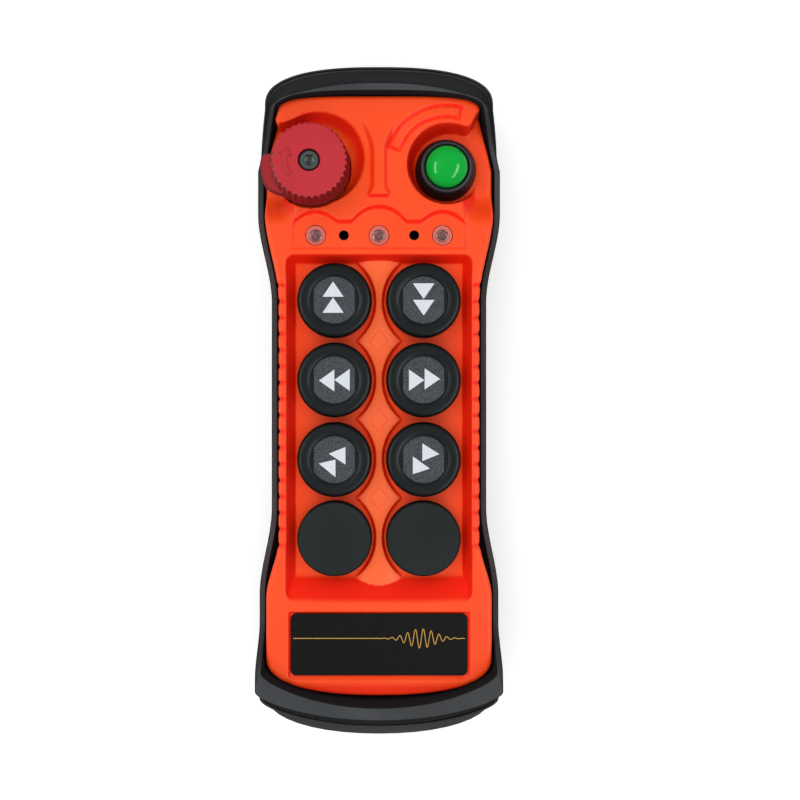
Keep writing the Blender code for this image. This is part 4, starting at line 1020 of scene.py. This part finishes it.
x0, y0, z0 = label_low
x1, y1, z1 = label_high
plate = loft([plate_ring(0.0, z0), plate_ring(0.0, z1 - PLATE_EDGE), plate_ring(PLATE_EDGE, z1)])
piece("label", plate, label_black, "housing", ["label_plate"])
trace_x = np.linspace(x0 + TRACE_INSET, x1 - TRACE_INSET, 420)
burst = BURST_HEIGHT * np.exp(-(((trace_x - BURST_X) / BURST_HALF) ** 2))
trace_y = y1 - TRACE_DROP + burst * np.sin((trace_x - BURST_X) * BURST_RATE)
trace = ribbon(np.column_stack([trace_x, trace_y]), TRACE_WIDTH, z1, z1 + TRACE_HEIGHT)
piece("label_trace", trace, gold_print, "housing")

# Bumper. A black rubber hoop stretched round the joint of the shells, low along the grip.
# At both ends it rises into a chamfered guard rim that stands over the controls and the label.
# A bead with a groove over it runs round its foot.
BUMPER_POINTS = 330
HEAD_RAMP = (77.0, 93.0)
TAIL_RAMP = (-70.0, -83.5)
RIM_DROP = 1.0
WALL_FOOT = 0.5
SOCKET_HEIGHT = 6.0
bumper_form = dict(
    rear_form, side=2.7, head=13.8, tail=13.8, flare=0.95, early=9.0, tail_corner=(6.0, 2.1, 3.2)
)
rim_form = dict(
    bumper_form, taper=(6.0, 1.1), head=3.2, tail=6.1, flare=0.3,
    head_corner=(5.0, 2.6, 3.0), tail_corner=(4.6, 2.2, 4.2),
)
lip_form = dict(
    rim_form, side=0.9, taper=FRONT_TAPER, head=0.8, tail=2.2,
    head_corner=(5.2, 3.2, 0.6), tail_corner=(4.0, 2.4, 6.8),
)
bumper_low, bumper_high = span("bumper")
bumper_foot = bumper_low[2]
rail_z = well_z - GAP
guard_z = bumper_high[2]


def guard(y):
    """The height of the guard rim along the station."""
    ramps = [ease((y - start) / (end - start)) for start, end in (HEAD_RAMP, TAIL_RAMP)]
    return rail_z + (guard_z - rail_z) * np.maximum(*ramps)


def foot_ring(grow, rise):
    """A ring of the bumper's bead, by its rise over the foot."""
    return hoop(plan(BUMPER_POINTS, grow, **bumper_form), bumper_foot + rise)


def guard_ring(form, grow, drop):
    """A ring that follows the guard rim along the station, a drop below it."""
    half = plan(BUMPER_POINTS, grow, **form)
    return hoop(half, guard(half[1]) - drop)


def wall_ring(share, grow):
    """A ring of the bumper's outer wall, a share of the way from its foot up to its rim."""
    return foot_ring(grow, WALL_FOOT) * (1 - share) + guard_ring(rim_form, grow, RIM_DROP) * share


bead = ((-0.4, 0.0), (0.0, 0.2), (0.0, 1.1), (-0.2, 1.3), (-0.5, 1.15), (-0.7, WALL_FOOT))
outer_wall = ((0.0, -1.4), (0.05, -1.15), (0.12, -0.65), (0.25, -0.4), (0.55, -0.25), (0.85, -0.1))
rim = ((0.0, RIM_DROP), (-0.12, 0.4), (-0.4, 0.0))
lip = ((0.3, 0.0), (0.08, 0.1), (0.0, 0.4), (-0.3, 3.0))
bumper_rings = [foot_ring(grow, rise) for grow, rise in bead]
bumper_rings += [wall_ring(share, grow) for share, grow in outer_wall]
bumper_rings += [guard_ring(rim_form, grow, drop) for grow, drop in rim]
bumper_rings += [guard_ring(lip_form, grow, drop) for grow, drop in lip]
bumper_rings += [hoop(plan(BUMPER_POINTS, GAP), bumper_foot + rise) for rise in (SOCKET_HEIGHT, 0.0)]
# The third colour is painted shade on the sloped and upright walls, which leaves the level rim top lighter.
bumper_rubber = moulded(
    "bumper_rubber", (62, 64, 66), (74, 76, 78), (38, 39, 40),
    rough=0.62, grain=2200.0, depth=0.08, specular=0.0, steep=0.2, flat=0.9,
)
bumper = loft(bumper_rings, closed=True)
piece("bumper_guard", bumper, bumper_rubber, "housing", ["bumper"])

# Push buttons. Six soft black rubber caps, each on a white nylon plunger over its sealed switch.
# A grained grey legend plate is let into a double-D seat in the crown of each, with two white travel
# arrows printed thick on it.
CAP_ROUND = 1.7
CAP_WALL = 1.8
CAP_HOLLOW = 3.0
SEAT_RADIUS = 7.5
SEAT_DEPTH = 0.6
PLATE_RADIUS = 7.2
PLATE_FLATS = 6.3
PLATE_DROP = 0.28
ARROW_THICKNESS = 0.08
# The third colour is painted shade on the caps' rounded edges and skirts.
cap_rubber = moulded(
    "cap_rubber", (13, 18, 20), (20, 25, 28), (4, 5, 5),
    rough=0.42, grain=1800.0, depth=0.04, specular=0.09, steep=0.8, flat=0.995,
)
nylon_white = grained(
    "nylon_white", (196, 195, 188), (214, 213, 206),
    rough=0.42, spread=0.15, scale=500.0, depth=0.03, detail=3.0,
)
legend = Finish("legend_grey")
leather = legend.cells(1500.0)
mottle = legend.noise(3400.0, 4.0, 0.7)
legend_color = legend.blend(legend.band(mottle, 0.36, 0.68), tint(18, 21, 26), tint(78, 84, 92))
legend_grey = legend.shade(
    {"Base Color": legend_color, "Roughness": 0.5 + mottle * 0.25, "Specular IOR Level": 0.2},
    leather * 0.5 + mottle * 0.5, 0.25,
)
arrow_white = grained(
    "arrow_white", (198, 205, 212), (213, 219, 225),
    rough=0.4, spread=0.2, scale=1800.0, depth=0.02,
)


def stacked(levels, count, x, y, closed=False):
    """A loft about an upright axis through (reach, height) levels, bottom first.

    A reach is a radius, or a function that gives the radius at each angle.
    """
    angles = np.linspace(0.0, 2 * math.pi, count, endpoint=False)
    rings = []
    for reach, height in levels:
        radius = reach(angles) if callable(reach) else np.full(count, reach)
        places = (x + radius * np.cos(angles), y + radius * np.sin(angles), np.full(count, height))
        rings.append(np.column_stack(places))
    return loft(rings, closed)


def double_d(shrink):
    """A legend plate's outline, drawn in all round: a circle with a flat on either side."""
    def edge(angles):
        flats = (PLATE_FLATS - shrink) / np.maximum(np.abs(np.cos(angles)), 1e-6)
        return np.minimum(PLATE_RADIUS - shrink, flats)

    return edge


def arrowhead(x, y, z, bearing, length, base, lean):
    """A thick printed triangle by the middle of its base, the way it points and its tip's lean aside."""
    ahead = np.array([math.cos(math.radians(bearing)), math.sin(math.radians(bearing))])
    across = np.array([-ahead[1], ahead[0]])
    middle = np.array([x, y])
    tip = middle + ahead * length + across * lean
    corners = [tip, middle + across * base / 2, middle - across * base / 2]
    return loft([[(*corner, height) for corner in corners] for height in (z, z + ARROW_THICKNESS)])


arrow_pairs = {
    "up": (90, 4.7, 6.5, ((-0.4, 1.0, 0.0), (-0.4, -3.9, 0.0))),
    "down": (-90, 4.8, 6.6, ((0.0, 5.1, 0.0), (0.0, 0.05, 0.0))),
    "left": (180, 4.7, 6.7, ((0.0, -0.2, 0.0), (4.7, 0.0, 0.0))),
    "right": (0, 4.7, 6.5, ((-4.5, -0.1, 0.0), (0.3, 0.3, 0.0))),
    "back": (180, 5.1, 5.4, ((3.4, 1.2, -0.65), (0.35, -2.65, -1.5))),
    "forward": (0, 5.2, 5.4, ((-0.4, 2.3, -0.6), (-3.3, -1.7, -1.0))),
}
for name in buttons:
    body = name + "_button"
    x, y, radius, bottom, crown = round_box(body + "_cap")
    skirt_radius = radius - CAP_WALL
    seat = crown - SEAT_DEPTH
    profile = [(0.0, crown - CAP_HOLLOW), (skirt_radius, crown - CAP_HOLLOW), (skirt_radius, bottom)]
    profile += [(radius - 0.2, bottom), (radius, bottom + 0.3), (radius, crown - CAP_ROUND - 0.6)]
    profile += arc(radius - CAP_ROUND, crown - CAP_ROUND, CAP_ROUND, 10, 80, 8)
    profile += [(radius - CAP_ROUND - 0.9, crown - 0.03), (SEAT_RADIUS + 0.6, crown - 0.2)]
    profile += [(SEAT_RADIUS + 0.1, crown - 0.42), (SEAT_RADIUS, seat), (0.0, seat)]
    dome = turned(profile, 72, x, y)
    piece(body + "_dome", dome, cap_rubber, body, [body + "_cap"])
    top = crown - PLATE_DROP
    levels = [(double_d(0.0), seat), (double_d(0.0), top - 0.2)]
    levels += [(double_d(0.08), top - 0.06), (double_d(0.25), top)]
    plate = stacked(levels, 72, x, y)
    piece(body + "_plate", plate, legend_grey, body, [body + "_legend"])
    bearing, length, base, places = arrow_pairs[name]
    for number, (dx, dy, lean) in enumerate(places, start=1):
        arrow = arrowhead(x + dx, y + dy, top, bearing, length, base, lean)
        piece(body + "_arrow_" + str(number), arrow, arrow_white, body)
dress(nylon_white, *[name + "_button_plunger" for name in buttons])

# Blank plugs. Two plain rubber discs with rounded rims that close the unused button places.
# A stud under each is pressed into a hole in the pocket's floor.
STUD_RADIUS = 3.4
PLUG_ROUND = 1.0
# The third colour is painted shade on the rim and sides.
plug_rubber = moulded(
    "plug_rubber", (34, 38, 38), (40, 44, 44), (14, 15, 15),
    rough=0.7, grain=1500.0, depth=0.05, specular=0.04,
)
for side in ("left", "right"):
    x, y, radius, bottom, top = round_box("blank_plug_" + side)
    base = pocket_floor + GAP
    profile = [(0.0, bottom), (STUD_RADIUS, bottom), (STUD_RADIUS, base), (radius - 0.3, base)]
    profile += [(radius, base + 0.3), (radius, top - PLUG_ROUND)]
    profile += arc(radius - PLUG_ROUND, top - PLUG_ROUND, PLUG_ROUND, 15, 90)
    profile += [(0.0, top)]
    plug = turned(profile, 72, x, y)
    piece("plug_" + side, plug, plug_rubber, "housing", ["blank_plug_" + side])

# Emergency stop. A black barrel nutted under the well guides a steel shaft, which a push drives down.
# On the shaft turn a dark red collar with one finger ear and the toothed red head over it,
# held by a black socket screw. A curved arrow stands out on the head to show the way to turn.
SHAFT_HOLE = 3.4
BARREL_RADIUS = 6.7
TEETH = 36
TOOTH = 0.42
HEAD_DRAFT = 0.6
HEAD_EDGE = 0.7
HEAD_SEAT = 3.25
EMBOSS = 0.2
EAR_REACH = 15.4
EAR_RISE = (158.0, 169.0)
EAR_FALL = (200.0, 234.0)
TURN_TAIL = 218.0
TURN_NECK = 169.0
TURN_TIP = 147.0
TURN_BAND = (6.3, 8.1)
TURN_BARBS = (5.0, 9.4)
COLLAR_RADIUS = 11.8
SCREW_RADIUS = 1.45
SCREW_HEAD = 2.4
KEY_HALF = 1.5
stop_x, stop_y, flange, bottom, top = round_box("estop_barrel")
seat = well_z + GAP
profile = [(SHAFT_HOLE, bottom), (BARREL_RADIUS, bottom), (BARREL_RADIUS, seat), (flange, seat)]
profile += [(flange, top - 0.5), (flange - 0.5, top), (SHAFT_HOLE, top), (SHAFT_HOLE, bottom)]
barrel = turned(profile, 72, stop_x, stop_y)
piece("stop_barrel", barrel, black_nylon, "housing", ["estop_barrel"])

# The third colour of each red is painted shade on its upright faces: the teeth, the collar's edge and the
# arrow's sloped sides.
stop_red = moulded(
    "stop_red", (178, 32, 43), (190, 41, 51), (126, 13, 23),
    rough=0.56, grain=2000.0, depth=0.06, specular=0.12,
)
collar_red = moulded(
    "collar_red", (158, 32, 36), (174, 42, 46), (116, 16, 22),
    rough=0.54, grain=2000.0, depth=0.06, specular=0.12,
)
arrow_red = moulded(
    "arrow_red", (174, 31, 42), (186, 40, 50), (92, 9, 17),
    rough=0.56, grain=2000.0, depth=0.06, specular=0.12,
)
screw_steel = grained(
    "screw_steel", (44, 50, 49), (62, 69, 67),
    rough=0.36, spread=0.2, scale=900.0, depth=0.02, metallic=0.6,
)


def ear(inset):
    """The collar's edge, drawn in all round: a circle with one ear at the left that tapers away below."""
    def edge(angles):
        bearing = np.degrees(angles)
        ramps = [ease((bearing - start) / (end - start)) for start, end in (EAR_RISE, EAR_FALL)]
        rise = ramps[0] * (1 - ramps[1])
        return COLLAR_RADIUS + (EAR_REACH - COLLAR_RADIUS) * rise - inset

    return edge


def toothed(radius):
    """The head's edge, with its teeth cut in from a radius."""
    def edge(angles):
        wave = 0.5 + 0.5 * np.cos(angles * TEETH)
        return radius - TOOTH * ease((wave - 0.25) / 0.5)

    return edge


def turn_arrow(inset, height):
    """The outline of the curved arrow on the head, drawn in by an inset, at one height."""
    inner, outer = TURN_BAND
    inner_barb, outer_barb = TURN_BARBS
    sweep = np.linspace(TURN_TAIL - 8.0 * inset, TURN_NECK + 4.0 * inset, 24)
    barb = TURN_NECK - 4.0 * inset
    corners = [(outer - inset, bearing) for bearing in sweep]
    corners += [(outer_barb - 2.2 * inset, barb), ((inner + outer) / 2, TURN_TIP + 14.0 * inset)]
    corners += [(inner_barb + 2.2 * inset, barb)]
    corners += [(inner + inset, bearing) for bearing in sweep[::-1]]
    reach, bearing = np.array(corners).T
    bearing = np.radians(bearing)
    x = stop_x + reach * np.cos(bearing)
    y = stop_y + reach * np.sin(bearing)
    return np.column_stack([x, y, np.full_like(reach, height)])


def hexagon(grow):
    """The key socket's outline, grown all round."""
    sector = math.pi / 3

    def edge(angles):
        return KEY_HALF / np.cos(angles % sector - sector / 2) + grow

    return edge


bottom, top = round_box("estop_collar")[3:]
levels = [(SHAFT_HOLE, bottom), (ear(0.4), bottom), (ear(0.0), bottom + 0.4)]
levels += [(ear(0.0), top - 0.6), (ear(0.6), top), (SHAFT_HOLE, top)]
collar = stacked(levels, 180, stop_x, stop_y, closed=True)
piece("stop_collar", collar, collar_red, "estop_head", ["estop_collar"])

foot_radius, bottom, crown = round_box("estop_head")[2:]
top = crown - EMBOSS
top_radius = foot_radius - HEAD_DRAFT
levels = [(SHAFT_HOLE, bottom), (foot_radius - TOOTH - 0.3, bottom), (toothed(foot_radius), bottom + 0.3)]
levels += [(toothed(top_radius), top - HEAD_EDGE), (toothed(top_radius - 0.15), top - 0.25)]
levels += [(top_radius - TOOTH - 0.2, top - 0.04), (top_radius - TOOTH - 0.8, top)]
levels += [(HEAD_SEAT + 0.2, top), (HEAD_SEAT, top - 0.2), (HEAD_SEAT, top - 3.2)]
levels += [(1.8, top - 3.2), (1.8, top - 4.6), (SHAFT_HOLE, top - 4.6)]
head = stacked(levels, TEETH * 8, stop_x, stop_y, closed=True)
piece("stop_head", head, stop_red, "estop_head", ["estop_head"])
rings = [turn_arrow(0.0, top - 0.05), turn_arrow(0.1, top + 0.6 * EMBOSS), turn_arrow(0.3, top + EMBOSS)]
piece("stop_turn_arrow", loft(rings), arrow_red, "estop_head")

head_radius, bottom, top = round_box("estop_screw")[2:]
levels = [(SCREW_RADIUS, bottom), (SCREW_RADIUS, top - SCREW_HEAD), (head_radius, top - SCREW_HEAD)]
levels += [(head_radius, top - 0.35), (head_radius - 0.35, top), (hexagon(0.15), top)]
levels += [(hexagon(0.0), top - 0.15), (hexagon(0.0), top - 1.9), (0.4, top - 2.3)]
screw = stacked(levels, 72, stop_x, stop_y)
piece("stop_screw", screw, screw_steel, "estop_shaft", ["estop_screw"])
dress(bright_steel, "estop_nut", "estop_shaft")
dress(black_nylon, "estop_contact_block")

# Start button. A glossy green dome on a stem, which a thumb pushes down against a spring.
# It is guided in a black moulded bezel that is nutted under the well.
STEM_HOLE = 2.9
BEZEL_THREAD = 5.7
BEZEL_ROUND = 1.2
BEZEL_BORE = 5.6
STEM_RADIUS = 2.5
DOME_SKIRT = 3.2
x, y, base, bottom, top = round_box("start_bezel")
dome_radius, dome_bottom, dome_top = round_box("start_dome")[2:]
rim = base - 2 * BEZEL_ROUND
bore = dome_radius + 0.25
seat = well_z + GAP
profile = [(STEM_HOLE, bottom), (BEZEL_THREAD, bottom), (BEZEL_THREAD, seat), (base - 0.3, seat)]
profile += [(base, seat + 0.4), (base, seat + 2.6)]
profile += arc(rim, top - BEZEL_ROUND, BEZEL_ROUND, 20, 90)
profile += [(bore + 0.3, top), (bore, top - 0.3), (bore, top - BEZEL_BORE), (STEM_HOLE, top - BEZEL_BORE)]
profile += [(STEM_HOLE, bottom)]
# The third colour is painted shade on its outer side.
bezel_black = moulded(
    "bezel_black", (46, 46, 49), (56, 56, 60), (14, 13, 15),
    rough=0.4, grain=2600.0, depth=0.02, specular=0.08,
)
bezel = turned(profile, 72, x, y)
piece("start_collar", bezel, bezel_black, "housing", ["start_bezel"])

start_green = grained(
    "start_green", (0, 158, 50), (4, 178, 62),
    rough=0.1, spread=0.08, scale=220.0, depth=0.01, detail=3.0, specular=0.1,
)
rise = dome_top - top
profile = [(0.0, dome_bottom), (STEM_RADIUS, dome_bottom), (STEM_RADIUS, top - DOME_SKIRT)]
profile += [(dome_radius, top - DOME_SKIRT), (dome_radius, top)]
for lean in np.radians(np.linspace(6, 84, 14)):
    profile.append((dome_radius * math.cos(lean), top + rise * math.sin(lean)))
profile += [(0.0, dome_top)]
dome = turned(profile, 72, x, y)
piece("start_cap", dome, start_green, "start_button", ["start_dome"])
dress(bright_steel, "start_nut")
dress(black_nylon, "start_contact_block")

# Shell screws. Four blackened steel pan-head screws with a cross recess.
# They sit deep in the tub's columns and draw the front shell down on the tub.
CROSS_HALF = 0.42


def cross(arm):
    """The outline of a cross recess, by the length of its arms."""
    def edge(angles):
        nearest = np.minimum(np.abs(np.cos(angles)), np.abs(np.sin(angles)))
        return np.minimum(arm, CROSS_HALF / np.maximum(nearest, 1e-3))

    return edge


for number, (x, y, z) in enumerate(shell_screws, start=1):
    node = "shell_screw_" + str(number)
    foot, point = round_box(node)[3:]
    levels = [(cross(1.1), foot + 1.2), (cross(1.7), foot + 0.05), (1.9, foot + 0.05), (2.3, foot + 0.3)]
    levels += [(2.8, foot + 1.0), (2.8, foot + SCREW_HEAD), (SCREW_RADIUS, foot + SCREW_HEAD)]
    levels += [(SCREW_RADIUS, point)]
    screw = stacked(levels, 64, x, y)
    piece("sunk_screw_" + str(number), screw, screw_steel, "housing", [node])

# Stage. A plain pale paper floor in a white studio, with soft lamps overhead and two narrow ones that
# draw glints on the domes. The camera looks straight down on the station.
FLOOR_HALF = 2000.0
CAMERA_HEIGHT = 400.0
CAMERA_Y = 0.35
FIELD = 245.6
PICTURE = 800
CENTRE_COLUMN = 379
SENSOR = 36.0
SKY_LIGHT = 0.56
WHITE = (1.0, 1.0, 1.0, 1.0)
BLACK = (0.0, 0.0, 0.0, 1.0)


def shown(finish):
    """1 for a ray that shows a surface, straight, in a reflection or through glass, and 0 for light."""
    kinds = ("Is Camera Ray", "Is Glossy Ray", "Is Transmission Ray")
    seen, mirrored, through = [finish.node("LightPath", output=kind) for kind in kinds]
    return seen + mirrored + through


paper = Finish("floor_paper")
fibre = paper.noise(60.0, 3.0)
floor_paper = paper.shade(
    {
        "Base Color": paper.blend(fibre, tint(228, 228, 227), tint(232, 232, 231)),
        "Roughness": 0.9,
        "Emission Color": paper.blend(shown(paper), BLACK, WHITE),
        "Emission Strength": 0.4,
    },
)
floor_corners = [(-1, -1, 0), (1, -1, 0), (1, 1, 0), (-1, 1, 0)]
floor_mesh = mesh_of(np.array(floor_corners) * FLOOR_HALF, [(0, 1, 2, 3)])
floor_mesh.materials.append(floor_paper)
floor_sheet = bpy.data.objects.new("floor", floor_mesh)
bpy.context.scene.collection.objects.link(floor_sheet)

world = bpy.data.worlds.new("studio")
sky = Finish("studio", world, "Background")
sky_color = sky.blend(shown(sky), (SKY_LIGHT, SKY_LIGHT, SKY_LIGHT, 1.0), WHITE)
sky.shade({"Color": sky_color, "Strength": 1.0})
bpy.context.scene.world = world


def softbox(name, place, width, height, watts):
    """A lamp with a lit face of one width and height that looks at the station."""
    light = bpy.data.lights.new(name, "AREA")
    light.shape = "RECTANGLE"
    light.size = width * MM
    light.size_y = height * MM
    light.energy = watts
    lamp = bpy.data.objects.new(name, light)
    lamp.location = [value * MM for value in place]
    lamp.rotation_euler = (-lamp.location).to_track_quat("-Z", "Y").to_euler()
    bpy.context.scene.collection.objects.link(lamp)
    return lamp


softbox("key", (-110.0, 80.0, 985.0), 1200.0, 1200.0, 4.4).visible_glossy = False
softbox("fill", (0.0, -420.0, 850.0), 600.0, 600.0, 1.4).visible_glossy = False
softbox("sheen", (-420.0, 320.0, 800.0), 500.0, 500.0, 0.8)
softbox("glint_left", (-653.0, 35.0, 650.0), 700.0, 110.0, 9.0).visible_diffuse = False
softbox("glint_right", (600.0, -190.0, 700.0), 1000.0, 150.0, 15.0).visible_diffuse = False

lens = bpy.data.cameras.new("camera")
lens.sensor_width = SENSOR
lens.lens = SENSOR * CAMERA_HEIGHT / FIELD
lens.shift_x = (PICTURE / 2 - CENTRE_COLUMN) / PICTURE
camera = bpy.data.objects.new("camera", lens)
camera.location = (0.0, CAMERA_Y * MM, (deck + CAMERA_HEIGHT) * MM)
bpy.context.scene.collection.objects.link(camera)
bpy.context.scene.camera = camera
bpy.context.scene.view_settings.view_transform = "Standard"
